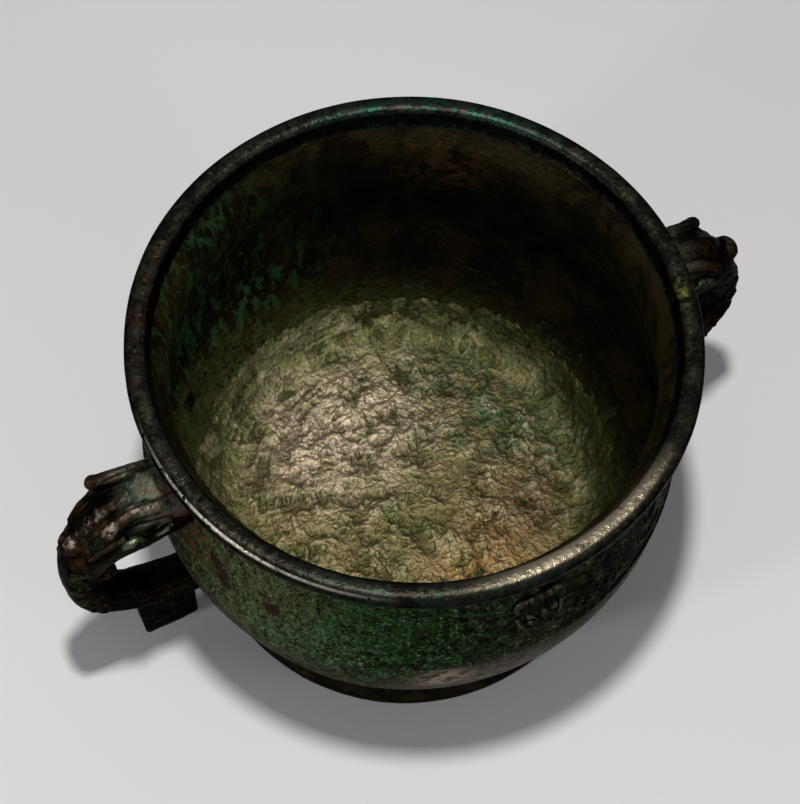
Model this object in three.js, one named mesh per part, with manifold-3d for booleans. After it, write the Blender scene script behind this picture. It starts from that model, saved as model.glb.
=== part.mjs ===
// Bronze food vessel on a ring foot, with two animal-head handles.
// Millimetres, +Z up, handles on +X and -X, origin on the ground at the centre of the foot.
import * as THREE from 'three';
import { mergeVertices } from 'three/addons/utils/BufferGeometryUtils.js';
import Module from 'manifold-3d';

// Mouth, neck and belly, measured on the outside
const RIM_RADIUS = 105;
const HEIGHT = 159;
const LIP_WIDTH = 8.6;
const LIP_THICKNESS = 8.4;
const NECK_RADIUS = 94.5;
const NECK_DROP = 21; // rim top down to the narrowest part of the neck
const BELLY_RADIUS = 102.7;
const BELLY_HEIGHT = 86;
const WALL = 4;

// Floor of the bowl
const BASE_RADIUS = 78;
const BASE_HEIGHT = 23; // ground to the underside
const FLOOR = 5;
const FLOOR_INSET = 12; // edge of the base in to where the floor starts to rise

// Raised lines round the outside
const LINE_WIDTH = 2.4;
const LINE_RELIEF = 0.8;
const UPPER_LINE_DROP = 28.5; // rim top down to the line on the neck
const LOWER_LINE_HEIGHT = 91;

// Ring foot
const FOOT_FLARE = 5; // its lower edge outside the edge of the base
const FOOT_SEAT = 1.5; // its waist outside the edge of the base
const FOOT_WALL = 5;
const FOOT_EDGE = 3.5; // upright edge that stands on the ground

// Handles: a loop whose outer outline runs from the neck, out and down to the lower belly
const HANDLE_DROP = 25; // rim top down to the top of the root
const HANDLE_REACH = 43.8; // beyond the belly
const HANDLE_MIDDLE = 86; // height of the outermost point
const ARM_BOTTOM = 38.5; // underside of the lower arm
const HEAD_THICKNESS = 26.5;
const HEAD_WIDTH = 26;
const ARM_THICKNESS = 13;
const ARM_WIDTH = 16;
const BROW_LEVEL = 0.58; // share of the reach over which the brow stays nearly level
const BROW_RISE = 0.13; // how far the brow swells above its root, as a share of the upper half
const FACE_DROP = 0.66; // share of the upper half over which the face comes down steeply
const BACK_DROP = 0.55; // the same for the lower half, from the widest point down
const ARM_LEVEL = 0.56; // share of the reach over which the lower arm comes back level
const ROOT_DEPTH = 14; // the outline starts this far inside the wall and is cut back to it
const SKIN = 2.6; // bronze round the clay core
const TENON_LENGTH = 6;

// Animal head on each handle
const HORN_RADIUS = 2.7;
const HORN_TIP_RADIUS = 3.2;
const HORN_SPACING = 18.6; // centre to centre
const HORN_START = 6; // from the neck of the vessel to the horn's root
const HORN_LENGTH = 24.5;
const HORN_ARCH = 2.6; // the middle of a horn above its ends
const SNOUT_RADIUS = 11.5;
const SNOUT_DEPTH = 9.2; // half its height
const SNOUT_SETBACK = 15; // outermost point of the handle back to the snout's centre
const SNOUT_DROP = 20; // top of the handle down to the snout's centre
const EYE_RADIUS = 4.5;
const EYE_RELIEF = 2.7;
const CURL_RADIUS = 5; // scroll under the jaw, at the inner edge of the loop
const CURL_WIDTH = 14.4;
const CURL_SINK = 2; // how far the scroll's centre stands clear of the loop's inner edge

// Flat lug that hangs below each handle
const LUG_WIDTH = 24;
const LUG_THICKNESS = 7;
const LUG_BOTTOM = 10.5;
const LUG_GAP = 7; // from the lug to the belly beside it, at the arm's underside
const LUG_BEVEL = 1;

// Small masks on the neck, halfway between the handles
const MASK_HEIGHT = 20;
const MASK_WIDTH = 20;
const MASK_RELIEF = 4.4;
const MASK_CENTRE_DROP = 45.5; // rim top down to the middle of the mask
const MASK_HORN_RADIUS = 1.9;
const MASK_SNOUT_DROP = 5.5; // middle of the mask down to the middle of the snout
const MASK_PLATE_RELIEF = 2.4; // low swelling under the whole mask
// Horn line, domed face and snout, as shares of the mask's half width and half height
const MASK_HORN_LINE = [[0.09, 0.12], [0.38, 0.62], [0.78, 0.72], [0.83, 0.2]];
const MASK_FACE = [0.72, 0.85];
const MASK_SNOUT = [0.5, 0.36];

// Bronze spacers left in the wall and the floor
const CHAPLET_SIZE = 7.5; // side of the square
const FLOOR_CHAPLETS = 4;
const FLOOR_CHAPLET_RADIUS = 34;
const UPPER_CHAPLET_HEIGHT = 106;
const UPPER_CHAPLET_ANGLE = 32; // degrees from the handles' axis
const LOWER_CHAPLET_HEIGHT = 52;
const LOWER_CHAPLET_ANGLE = 45;

const CLEARANCE = 0.3;

// How finely curves are divided
const ROUND_STEPS = 56;
const CURVE_STEPS = 6;
const LIP_STEPS = 9;

const NECK_HEIGHT = HEIGHT - NECK_DROP;
const LIP_RADIUS = RIM_RADIUS - LIP_WIDTH / 2;
const LIP_HEIGHT = HEIGHT - LIP_THICKNESS / 2;
const HANDLE_TOP = HEIGHT - HANDLE_DROP;
const HANDLE_RADIUS = BELLY_RADIUS + HANDLE_REACH;
const MASK_MIDDLE = HEIGHT - MASK_CENTRE_DROP;
const FLOOR_TOP = BASE_HEIGHT + FLOOR;
const LEVEL_FLOOR_RADIUS = BASE_RADIUS - FLOOR_INSET;
const FOOT_RADIUS = BASE_RADIUS + FOOT_FLARE;
const FOOT_WAIST_RADIUS = BASE_RADIUS + FOOT_SEAT;
const FULLNESS = 0.38; // how far a curve of the profile keeps its ends' direction, as a share of its height

const wasm = await Module();
wasm.setup();

// Solids from geometries, and back
function solid(geometry) {
  geometry.deleteAttribute('normal');
  geometry.deleteAttribute('uv');
  const merged = mergeVertices(geometry, 1e-4);
  const corner = merged.index.array;
  const triangles = [];
  for (let i = 0; i < corner.length; i += 3) {
    const [a, b, c] = [corner[i], corner[i + 1], corner[i + 2]];
    if (a !== b && b !== c && c !== a) triangles.push(a, b, c); // a pole's triangles have no area
  }
  return new wasm.Manifold(new wasm.Mesh({
    numProp: 3,
    vertProperties: new Float32Array(merged.attributes.position.array),
    triVerts: new Uint32Array(triangles),
  }));
}

function geometryOf(body) {
  const mesh = body.getMesh();
  const geometry = new THREE.BufferGeometry();
  geometry.setAttribute('position', new THREE.BufferAttribute(new Float32Array(mesh.vertProperties), 3));
  geometry.setIndex(new THREE.BufferAttribute(new Uint32Array(mesh.triVerts), 1));
  geometry.computeVertexNormals();
  return geometry;
}

function turned(profile) {
  const points = profile.map(([radius, height]) => new THREE.Vector2(radius, height));
  return solid(new THREE.LatheGeometry(points, ROUND_STEPS).rotateX(Math.PI / 2));
}

function bezier(...points) {
  return new THREE.CubicBezierCurve(...points.map(([x, y]) => new THREE.Vector2(x, y)));
}

function sampled(curve, steps) {
  return curve.getPoints(steps).map((point) => [point.x, point.y]);
}

function smoothstep(value, from, to) {
  const share = THREE.MathUtils.clamp((value - from) / (to - from), 0, 1);
  return share * share * (3 - 2 * share);
}

// Outside of the bowl: base to belly, belly to neck, neck to the underside of the lip
const bellyRise = BELLY_HEIGHT - BASE_HEIGHT;
const neckRise = NECK_HEIGHT - BELLY_HEIGHT;
const lipRise = HEIGHT - LIP_THICKNESS - NECK_HEIGHT;
const OUTSIDE = [
  bezier([BASE_RADIUS, BASE_HEIGHT],
    [BASE_RADIUS + (BELLY_RADIUS - BASE_RADIUS) / 2, BASE_HEIGHT + bellyRise / 7],
    [BELLY_RADIUS, BELLY_HEIGHT - FULLNESS * bellyRise], [BELLY_RADIUS, BELLY_HEIGHT]),
  bezier([BELLY_RADIUS, BELLY_HEIGHT], [BELLY_RADIUS, BELLY_HEIGHT + FULLNESS * neckRise],
    [NECK_RADIUS, NECK_HEIGHT - FULLNESS * neckRise], [NECK_RADIUS, NECK_HEIGHT]),
  bezier([NECK_RADIUS, NECK_HEIGHT], [NECK_RADIUS, NECK_HEIGHT + lipRise / 2],
    [NECK_RADIUS + (LIP_RADIUS - NECK_RADIUS) / 3, HEIGHT - LIP_THICKNESS],
    [LIP_RADIUS, HEIGHT - LIP_THICKNESS]),
].flatMap((curve) => sampled(curve, 40));

function outsideRadius(height) {
  const next = OUTSIDE.findIndex(([, z]) => z >= height);
  if (next < 1) return next < 0 ? LIP_RADIUS : BASE_RADIUS;
  const [[r0, z0], [r1, z1]] = [OUTSIDE[next - 1], OUTSIDE[next]];
  return z1 > z0 ? THREE.MathUtils.mapLinear(height, z0, z1, r0, r1) : r1;
}

// Outer profile from the base to the lip, with the raised lines on it
function outsideProfile(relief = LINE_RELIEF) {
  const lines = [HEIGHT - UPPER_LINE_DROP, LOWER_LINE_HEIGHT];
  const lineEdges = lines.flatMap((z) => [-0.5, -0.25, 0.25, 0.5].map((share) => z + share * LINE_WIDTH));
  const spans = [
    [BASE_HEIGHT, BELLY_HEIGHT],
    [BELLY_HEIGHT, NECK_HEIGHT],
    [NECK_HEIGHT, HEIGHT - LIP_THICKNESS],
  ];
  const levels = spans
    .flatMap(([low, high]) => Array.from({ length: CURVE_STEPS }, (_, i) => {
      const share = i / CURVE_STEPS;
      return low + (high - low) * (low === BASE_HEIGHT ? share ** 1.5 : share);
    }))
    .filter((z) => lines.every((line) => Math.abs(z - line) > LINE_WIDTH));
  return [...levels, ...lineEdges].sort((a, b) => a - b).map((z) => {
    const nearest = Math.min(...lines.map((line) => Math.abs(z - line)));
    return [outsideRadius(z) + relief * (1 - smoothstep(nearest, LINE_WIDTH / 4, LINE_WIDTH / 2)), z];
  });
}

// Round lip, from its underside over the top to its inner edge
function lipProfile() {
  return sampled(new THREE.EllipseCurve(LIP_RADIUS, LIP_HEIGHT, LIP_WIDTH / 2, LIP_THICKNESS / 2,
    -Math.PI / 2, Math.PI), LIP_STEPS);
}

// Inside of the bowl, from the lip down the wall to the middle of the floor
function insideProfile() {
  const insideNeck = NECK_RADIUS - WALL;
  const insideBelly = BELLY_RADIUS - WALL;
  const edge = LIP_RADIUS - LIP_WIDTH / 2;
  const drop = BELLY_HEIGHT - FLOOR_TOP;
  return [
    ...sampled(bezier([edge, LIP_HEIGHT], [edge, LIP_HEIGHT - LIP_THICKNESS / 2],
      [insideNeck, NECK_HEIGHT + lipRise / 2], [insideNeck, NECK_HEIGHT]), 4).slice(1),
    ...sampled(bezier([insideNeck, NECK_HEIGHT], [insideNeck, NECK_HEIGHT - FULLNESS * neckRise],
      [insideBelly, BELLY_HEIGHT + FULLNESS * neckRise], [insideBelly, BELLY_HEIGHT]), 5).slice(1),
    ...sampled(bezier([insideBelly, BELLY_HEIGHT], [insideBelly, BELLY_HEIGHT - FULLNESS * drop],
      [LEVEL_FLOOR_RADIUS + FULLNESS * drop, FLOOR_TOP],
      [LEVEL_FLOOR_RADIUS, FLOOR_TOP]), CURVE_STEPS).slice(1),
    [0, FLOOR_TOP],
  ];
}

// The bowl's outer form as a full body, grown all round, for fitting what stands against the wall
function envelope(growth, relief = LINE_RELIEF) {
  const outline = [[0, BASE_HEIGHT], ...outsideProfile(relief)];
  const grown = outline.map(([radius, height], i) => {
    const before = outline[Math.max(i - 1, 0)];
    const after = outline[Math.min(i + 1, outline.length - 1)];
    const along = new THREE.Vector2(after[0] - before[0], after[1] - before[1]).normalize();
    return [radius === 0 ? 0 : radius + growth * along.y, height - growth * along.x];
  });
  const top = HEIGHT + growth;
  return turned([...grown, [grown.at(-1)[0], top], [0, top]]);
}

// Outer outline of a handle, in the upright plane through the axis
function handleOutline() {
  const topRoot = outsideRadius(HANDLE_TOP) - ROOT_DEPTH;
  const lowRoot = outsideRadius(ARM_BOTTOM) - ROOT_DEPTH;
  const upper = HANDLE_TOP - HANDLE_MIDDLE;
  const lower = HANDLE_MIDDLE - ARM_BOTTOM;
  const path = new THREE.CurvePath();
  path.add(bezier([topRoot, HANDLE_TOP],
    [BELLY_RADIUS + HANDLE_REACH * BROW_LEVEL, HANDLE_TOP + upper * BROW_RISE],
    [HANDLE_RADIUS, HANDLE_MIDDLE + upper * FACE_DROP], [HANDLE_RADIUS, HANDLE_MIDDLE]));
  path.add(bezier([HANDLE_RADIUS, HANDLE_MIDDLE], [HANDLE_RADIUS, HANDLE_MIDDLE - lower * BACK_DROP],
    [BELLY_RADIUS + HANDLE_REACH * ARM_LEVEL, ARM_BOTTOM], [lowRoot, ARM_BOTTOM]));
  return path;
}

// The loop as a body: rounded sections from the head round to the lower arm, each inset by a skin
const LOOP_STATIONS = 22;
const SECTION_POINTS = 14;
const SQUARENESS = 0.72; // 1 gives an ellipse, less a squarer section
const HEAD_END = 0.2; // where the head starts to narrow, as a share of the outline
const ARM_START = 0.52;

function loop(inset) {
  const outline = handleOutline();
  const vertices = [];
  for (let i = 0; i <= LOOP_STATIONS; i++) {
    const share = i / LOOP_STATIONS;
    const point = outline.getPointAt(share);
    const along = outline.getTangentAt(share);
    const inward = new THREE.Vector2(along.y, -along.x);
    const slim = smoothstep(share, HEAD_END, ARM_START);
    const halfThickness = THREE.MathUtils.lerp(HEAD_THICKNESS, ARM_THICKNESS, slim) / 2;
    const halfWidth = THREE.MathUtils.lerp(HEAD_WIDTH, ARM_WIDTH, slim) / 2;
    const centre = point.clone().addScaledVector(inward, halfThickness);
    for (let j = 0; j < SECTION_POINTS; j++) {
      const angle = (2 * Math.PI * j) / SECTION_POINTS;
      const [c, s] = [Math.cos(angle), Math.sin(angle)];
      const across = Math.sign(s) * Math.abs(s) ** SQUARENESS * (halfWidth - inset);
      const down = Math.sign(c) * Math.abs(c) ** SQUARENESS * (halfThickness - inset);
      vertices.push(centre.x + inward.x * down, across, centre.y + inward.y * down);
    }
    if (i === 0 || i === LOOP_STATIONS) vertices.push(centre.x, 0, centre.y);
  }
  return solid(skinned(vertices, LOOP_STATIONS, SECTION_POINTS));
}

// Faces between rings of points; the first and the last ring each have a middle point after them
function skinned(vertices, spans, count) {
  const ringStart = (i) => i * count + (i > 0 ? 1 : 0);
  const firstMiddle = count;
  const lastMiddle = vertices.length / 3 - 1;
  const index = [];
  for (let j = 0; j < count; j++) {
    const next = (j + 1) % count;
    index.push(firstMiddle, ringStart(0) + next, ringStart(0) + j);
    for (let i = 0; i < spans; i++) {
      const [a, b] = [ringStart(i) + j, ringStart(i) + next];
      const [c, d] = [ringStart(i + 1) + j, ringStart(i + 1) + next];
      index.push(a, b, d, a, d, c);
    }
    index.push(lastMiddle, ringStart(spans) + j, ringStart(spans) + next);
  }
  const geometry = new THREE.BufferGeometry();
  geometry.setAttribute('position', new THREE.Float32BufferAttribute(vertices, 3));
  geometry.setIndex(index);
  return geometry;
}

function ball(radii, centre, steps = 12) {
  const geometry = new THREE.SphereGeometry(1, steps, Math.round(steps * 0.6));
  return solid(geometry.scale(...radii).translate(...centre));
}

// A round bar along a smooth line through the given points
function bar(points, radius, steps) {
  const path = new THREE.CatmullRomCurve3(points.map((point) => new THREE.Vector3(...point)));
  const section = new THREE.Shape().absarc(0, 0, radius, 0, 2 * Math.PI);
  return solid(new THREE.ExtrudeGeometry(section, {
    steps, curveSegments: 4, extrudePath: path, bevelEnabled: false,
  }));
}

// Two low horns along the edges of the brow, a round snout, an eye on each side and a scroll under the jaw
function animalHead() {
  const brow = HANDLE_TOP - HORN_RADIUS;
  const root = NECK_RADIUS + HORN_START;
  const tip = root + HORN_LENGTH;
  const parts = [ball([SNOUT_RADIUS, SNOUT_RADIUS, SNOUT_DEPTH],
    [HANDLE_RADIUS - SNOUT_SETBACK, 0, HANDLE_TOP - SNOUT_DROP])];
  for (const side of [-1, 1]) {
    const across = (side * HORN_SPACING) / 2;
    parts.push(bar([[root, across, brow], [(root + tip) / 2, across, brow + HORN_ARCH], [tip, across, brow]],
      HORN_RADIUS, 5));
    parts.push(ball([HORN_TIP_RADIUS, HORN_TIP_RADIUS, HORN_TIP_RADIUS], [tip, across, brow], 8));
    parts.push(ball([EYE_RADIUS, EYE_RELIEF, EYE_RADIUS],
      [tip - EYE_RADIUS / 2, (side * HEAD_WIDTH) / 2, HANDLE_TOP - HEAD_THICKNESS / 2], 8));
  }
  const curl = new THREE.CylinderGeometry(CURL_RADIUS, CURL_RADIUS, CURL_WIDTH, 10);
  curl.translate(HANDLE_RADIUS - ARM_THICKNESS - CURL_SINK, 0, HANDLE_MIDDLE + CURL_RADIUS);
  parts.push(solid(curl));
  return parts;
}

function hangingLug() {
  const inner = outsideRadius(ARM_BOTTOM) + LUG_GAP;
  const outer = inner + LUG_WIDTH;
  const top = ARM_BOTTOM + ARM_THICKNESS / 2;
  const shape = new THREE.Shape();
  shape.moveTo(inner, top);
  shape.lineTo(inner - LUG_BEVEL, LUG_BOTTOM);
  shape.lineTo(outer - LUG_BEVEL * 2, LUG_BOTTOM);
  shape.lineTo(outer, top);
  const depth = LUG_THICKNESS - 2 * LUG_BEVEL;
  const lug = new THREE.ExtrudeGeometry(shape, {
    depth, bevelThickness: LUG_BEVEL, bevelSize: LUG_BEVEL, bevelOffset: -LUG_BEVEL, bevelSegments: 1,
  });
  return solid(lug.translate(0, 0, -depth / 2).rotateX(Math.PI / 2));
}

const wallFit = envelope(CLEARANCE);
const tenonReach = envelope(TENON_LENGTH, 0);
const coreSpace = loop(SKIN);

const handleBody = [loop(0), ...animalHead(), hangingLug()]
  .reduce((whole, piece) => whole.add(piece))
  .subtract(coreSpace)
  .subtract(wallFit);

const coreBody = loop(SKIN + CLEARANCE).subtract(envelope(TENON_LENGTH + CLEARANCE, 0));

// The bowl is one casting: wall, floor, lip, lines, and four tenons inside the handles' roots
function bowlBody() {
  const wall = turned([[0, BASE_HEIGHT], ...outsideProfile(), ...lipProfile(), ...insideProfile()]);
  const hollow = turned([...insideProfile().reverse(), [LIP_RADIUS, HEIGHT + LIP_THICKNESS],
    [0, HEIGHT + LIP_THICKNESS]]);
  const tenons = loop(SKIN + CLEARANCE).intersect(tenonReach).subtract(hollow);
  return wall.add(tenons).add(tenons.rotate([0, 0, 180]));
}

// A square spacer turned on its corner, along a line through the wall
function chapletPrism(size, { angle, tilt, radius, height }) {
  const prism = new THREE.BoxGeometry(size, size, 8 * WALL).rotateZ(Math.PI / 4);
  return solid(prism.rotateY(tilt).translate(radius, 0, height).rotateZ(angle));
}

function chapletPlaces() {
  const places = [];
  for (let i = 0; i < FLOOR_CHAPLETS; i++) {
    const angle = ((i + 0.5) * 2 * Math.PI) / FLOOR_CHAPLETS;
    const name = `floor_chaplet_${i + 1}`;
    places.push({ name, angle, tilt: 0, radius: FLOOR_CHAPLET_RADIUS, height: BASE_HEIGHT });
  }
  const rows = [
    ['upper', UPPER_CHAPLET_HEIGHT, UPPER_CHAPLET_ANGLE],
    ['lower', LOWER_CHAPLET_HEIGHT, LOWER_CHAPLET_ANGLE],
  ];
  for (const [row, height, degrees] of rows) {
    const slope = outsideRadius(height + 1) - outsideRadius(height - 1);
    const tilt = Math.PI / 2 + Math.atan2(slope, 2);
    for (const [i, corner] of [degrees, 180 - degrees, 180 + degrees, -degrees].entries()) {
      const angle = THREE.MathUtils.degToRad(corner);
      places.push({ name: `${row}_chaplet_${i + 1}`, angle, tilt, radius: outsideRadius(height), height });
    }
  }
  return places;
}

// Foot: an upright edge, a waist and a top that follows the underside of the bowl
function footBody() {
  const inner = FOOT_RADIUS - FOOT_WALL;
  const topInner = BASE_RADIUS - FOOT_WALL;
  const above = BASE_HEIGHT + FLOOR;
  const outside = sampled(bezier([FOOT_RADIUS - FOOT_EDGE / 3, FOOT_EDGE * 1.3],
    [FOOT_WAIST_RADIUS, FOOT_EDGE * 2], [FOOT_WAIST_RADIUS, BASE_HEIGHT / 2],
    [FOOT_WAIST_RADIUS, BASE_HEIGHT]), 5);
  const ring = turned([[inner, 0], [FOOT_RADIUS, 0], [FOOT_RADIUS, FOOT_EDGE], ...outside,
    [FOOT_WAIST_RADIUS, above], [topInner, above], [topInner, FOOT_EDGE * 2], [inner, 0]]);
  return ring.subtract(wallFit);
}

// Mask: a small head on the wall, with a brow, two horns curling outwards and a snout
function maskBody() {
  const seat = outsideRadius(MASK_MIDDLE);
  const [half, high] = [MASK_WIDTH / 2, MASK_HEIGHT / 2];
  const parts = [
    ball([MASK_RELIEF + MASK_PLATE_RELIEF, half * 1.25, high], [seat - MASK_RELIEF, 0, MASK_MIDDLE]),
    ball([MASK_RELIEF * 1.3, half * MASK_FACE[0], high * MASK_FACE[1]],
      [seat - MASK_RELIEF / 2, 0, MASK_MIDDLE]),
    ball([MASK_RELIEF * 0.8, half * MASK_SNOUT[0], high * MASK_SNOUT[1]],
      [seat + MASK_RELIEF / 4, 0, MASK_MIDDLE - MASK_SNOUT_DROP]),
  ];
  for (const side of [-1, 1]) {
    const points = MASK_HORN_LINE.map(([across, up]) => {
      const height = MASK_MIDDLE + up * high;
      const y = side * across * half;
      return [Math.sqrt(outsideRadius(height) ** 2 - y ** 2) + MASK_HORN_RADIUS / 2, y, height];
    });
    parts.push(bar(points, MASK_HORN_RADIUS, 7));
  }
  return parts.reduce((whole, piece) => whole.add(piece)).subtract(wallFit);
}

const bronze = new THREE.MeshStandardMaterial({ color: 0x3d4034, roughness: 0.5, metalness: 0.75 });
const darkBronze = new THREE.MeshStandardMaterial({ color: 0x352f28, roughness: 0.42, metalness: 0.8 });
const spacerBronze = new THREE.MeshStandardMaterial({ color: 0x6b4a38, roughness: 0.55, metalness: 0.7 });
const clay = new THREE.MeshStandardMaterial({ color: 0x7d5a43, roughness: 0.95, metalness: 0 });

const vessel = new THREE.Group();

function place(name, body, material, turn = 0) {
  const mesh = new THREE.Mesh(geometryOf(body), material);
  mesh.name = name;
  mesh.rotation.z = turn;
  vessel.add(mesh);
}

const casting = bowlBody();
let bowl = casting;
for (const spacer of chapletPlaces()) {
  bowl = bowl.subtract(chapletPrism(CHAPLET_SIZE + 2 * CLEARANCE, spacer));
  place(spacer.name, casting.intersect(chapletPrism(CHAPLET_SIZE, spacer)), spacerBronze);
}
place('bowl', bowl, bronze);
place('ring_foot', footBody(), darkBronze);
for (const [side, turn] of [['right', 0], ['left', Math.PI]]) {
  place(`handle_${side}`, handleBody, darkBronze, turn);
  place(`handle_core_${side}`, coreBody, clay, turn);
}
const mask = maskBody();
place('front_mask', mask, bronze, -Math.PI / 2);
place('back_mask', mask, bronze, Math.PI / 2);

export default vessel;
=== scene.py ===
# An old bronze food bowl on a ring foot, with two animal-head handles, on a pale studio floor.
# Metres, +Z up, handles along X, origin on the ground under the middle of the bowl.
import math

import bmesh
import bpy
import numpy as np
from mathutils import Matrix, Vector


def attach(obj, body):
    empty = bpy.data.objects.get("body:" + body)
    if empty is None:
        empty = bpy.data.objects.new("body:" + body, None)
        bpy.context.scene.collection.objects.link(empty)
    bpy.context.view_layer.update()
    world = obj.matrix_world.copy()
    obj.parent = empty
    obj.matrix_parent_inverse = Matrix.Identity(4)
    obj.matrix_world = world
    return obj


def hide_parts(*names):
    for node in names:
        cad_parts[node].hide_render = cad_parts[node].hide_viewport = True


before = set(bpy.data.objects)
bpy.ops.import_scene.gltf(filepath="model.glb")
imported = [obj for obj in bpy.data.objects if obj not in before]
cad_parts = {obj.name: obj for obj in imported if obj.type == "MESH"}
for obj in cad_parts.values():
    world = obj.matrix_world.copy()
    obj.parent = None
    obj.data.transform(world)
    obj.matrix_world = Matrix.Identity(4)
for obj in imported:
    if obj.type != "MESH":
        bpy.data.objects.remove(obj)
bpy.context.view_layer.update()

# Floor, light and camera
# A wide matt board in pale grey. A soft lamp hangs above the bowl, weaker ones stand low on the left and in front on
# the right, and the camera looks down steeply from the front left, tilted a little, as in the photograph.
FLOOR_WIDTH = 9.0
CAMERA_AZIMUTH = math.radians(-30.55)
CAMERA_ELEVATION = math.radians(62.18)
CAMERA_TILT = math.radians(3.218)
CAMERA_DISTANCE = 0.8757
CAMERA_ASIDE = -0.0041
CAMERA_LIFT = 0.0194
AIM_HEIGHT = 0.063
SENSOR_WIDTH = 36  # millimetres
FOCAL_PIXELS = 2200
PICTURE_HEIGHT = 804
FARTHEST_SEEN = 50
LAMP_AIM = (0, 0, 0.08)
TOP_LAMP = dict(place=(-0.08, -0.07, 1.32), size=0.08, power=14.0, colour=(1.0, 0.97, 0.91))
SIDE_LAMP = dict(place=(-0.95, -0.14, 0.44), size=0.12, power=2.4, colour=(0.93, 0.96, 1.0))
FRONT_LAMP = dict(place=(0.55, -0.85, 0.85), size=0.35, power=1.6, colour=(1.0, 0.98, 0.95))
ROOM_COLOUR = (1.0, 1.0, 1.02, 1.0)
ROOM_STRENGTH = 0.21


def tone(red, green, blue):
    """A colour as a screen shows it, 0 to 255, made ready for a shader"""
    shares = [value / 255 for value in (red, green, blue)]
    linear = [s / 12.92 if s <= 0.04045 else ((s + 0.055) / 1.055) ** 2.4 for s in shares]
    return (*linear, 1.0)


class Wire:
    """An output of a node. Sums, products and the like add their Math nodes to its tree."""

    def __init__(self, tree, socket):
        self.tree = tree
        self.socket = socket

    def maths(self, operation, *values):
        return self.tree.node("ShaderNodeMath", {"operation": operation}, dict(enumerate(values)))[0]

    def __add__(self, other):
        return self.maths("ADD", self, other)

    def __radd__(self, other):
        return self.maths("ADD", other, self)

    def __sub__(self, other):
        return self.maths("SUBTRACT", self, other)

    def __rsub__(self, other):
        return self.maths("SUBTRACT", other, self)

    def __mul__(self, other):
        return self.maths("MULTIPLY", self, other)

    def __rmul__(self, other):
        return self.maths("MULTIPLY", other, self)

    def __truediv__(self, other):
        return self.maths("DIVIDE", self, other)

    def __rtruediv__(self, other):
        return self.maths("DIVIDE", other, self)

    def __pow__(self, other):
        return self.maths("POWER", self, other)

    def __abs__(self):
        return self.maths("ABSOLUTE", self)

    def whole(self):
        return self.maths("FLOOR", self)

    def sign(self):
        return self.maths("SIGN", self)

    def sine(self):
        return self.maths("SINE", self)

    def cosine(self):
        return self.maths("COSINE", self)

    def least(self, other):
        return self.maths("MINIMUM", self, other)

    def most(self, other):
        return self.maths("MAXIMUM", self, other)

    def fade(self, start, end, low=0.0, high=1.0):
        """low up to start, high from end on, and smooth between them"""
        return self.tree.node(
            "ShaderNodeMapRange",
            {"interpolation_type": "SMOOTHSTEP"},
            {"Value": self, "From Min": start, "From Max": end, "To Min": low, "To Max": high},
        )["Result"]


class Outputs:
    """The outputs of a node that was just made, by name or number"""

    def __init__(self, tree, node):
        self.tree = tree
        self.node = node

    def __getitem__(self, key):
        return Wire(self.tree, self.node.outputs[key])


class Tree:
    """A tree of nodes for a finish or for a shape"""

    def __init__(self, nodes):
        self.nodes = nodes
        nodes.nodes.clear()

    def node(self, kind, settings=None, sockets=None):
        made = self.nodes.nodes.new(kind)
        for name, value in (settings or {}).items():
            setattr(made, name, value)
        for key, value in (sockets or {}).items():
            if isinstance(value, Wire):
                self.nodes.links.new(value.socket, made.inputs[key])
            else:
                made.inputs[key].default_value = value
        return Outputs(self, made)

    def stand_at(self, place):
        """Takes this vector as the surface's own place"""
        parts = self.node("ShaderNodeSeparateXYZ", {}, {0: place})
        self.place, self.x, self.y, self.z = place, parts["X"], parts["Y"], parts["Z"]
        self.from_axis = (self.x * self.x + self.y * self.y) ** 0.5

    def vector(self, x, y, z):
        return self.node("ShaderNodeCombineXYZ", {}, {"X": x, "Y": y, "Z": z})[0]

    def noise(self, size, detail=3.0, roughness=0.55, distortion=0.0, at=None):
        """Cloudy noise from about 0.3 to 0.7 with features of this size in metres"""
        return self.node("ShaderNodeTexNoise", {}, {
            "Vector": self.place if at is None else at, "Scale": 1 / size, "Detail": detail,
            "Roughness": roughness, "Distortion": distortion,
        })[0]


class Finish(Tree):
    """A material of nodes on the piece's own coordinates"""

    def __init__(self, name):
        self.material = bpy.data.materials.new(name)
        self.material.use_nodes = True
        super().__init__(self.material.node_tree)
        self.stand_at(self.node("ShaderNodeTexCoord")["Object"])

    def stored(self, name):
        """A number that the mesh holds at each of its points"""
        return self.node("ShaderNodeAttribute", {"attribute_name": name})["Fac"]

    def cells(self, size):
        """Distance to the nearest of scattered points, in units of their spacing"""
        return self.node("ShaderNodeTexVoronoi", {}, {"Vector": self.place, "Scale": 1 / size})["Distance"]

    def distance(self, point, at=None):
        """How far the surface, or the place given instead, is from a point"""
        place = self.place if at is None else at
        return self.node("ShaderNodeVectorMath", {"operation": "DISTANCE"}, {0: place, 1: point})["Value"]

    def near(self, patch, blur=0.5):
        """1 in the middle of a patch, falling to 0 at its reach"""
        middle, reach = patch
        return self.distance(middle).fade(reach, reach * (1 - blur))

    def coats(self, colour, *layers):
        """A colour with others laid over it in turn, each by its own share"""
        for share, over in layers:
            colour = self.node("ShaderNodeMix", {"data_type": "RGBA"}, {0: share, 6: colour, 7: over})[2]
        return colour

    def relief(self, distance, height, strength=1.0):
        """Fine relief for the shader's Normal, with its height in units of this distance"""
        return self.node("ShaderNodeBump", {}, {
            "Strength": strength, "Distance": distance, "Height": height,
        })["Normal"]

    def end(self, sockets):
        """Closes the tree with one surface shader"""
        shader = self.node("ShaderNodeBsdfPrincipled", {}, sockets)
        self.node("ShaderNodeOutputMaterial", {}, {"Surface": shader["BSDF"]})
        return self.material


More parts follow.
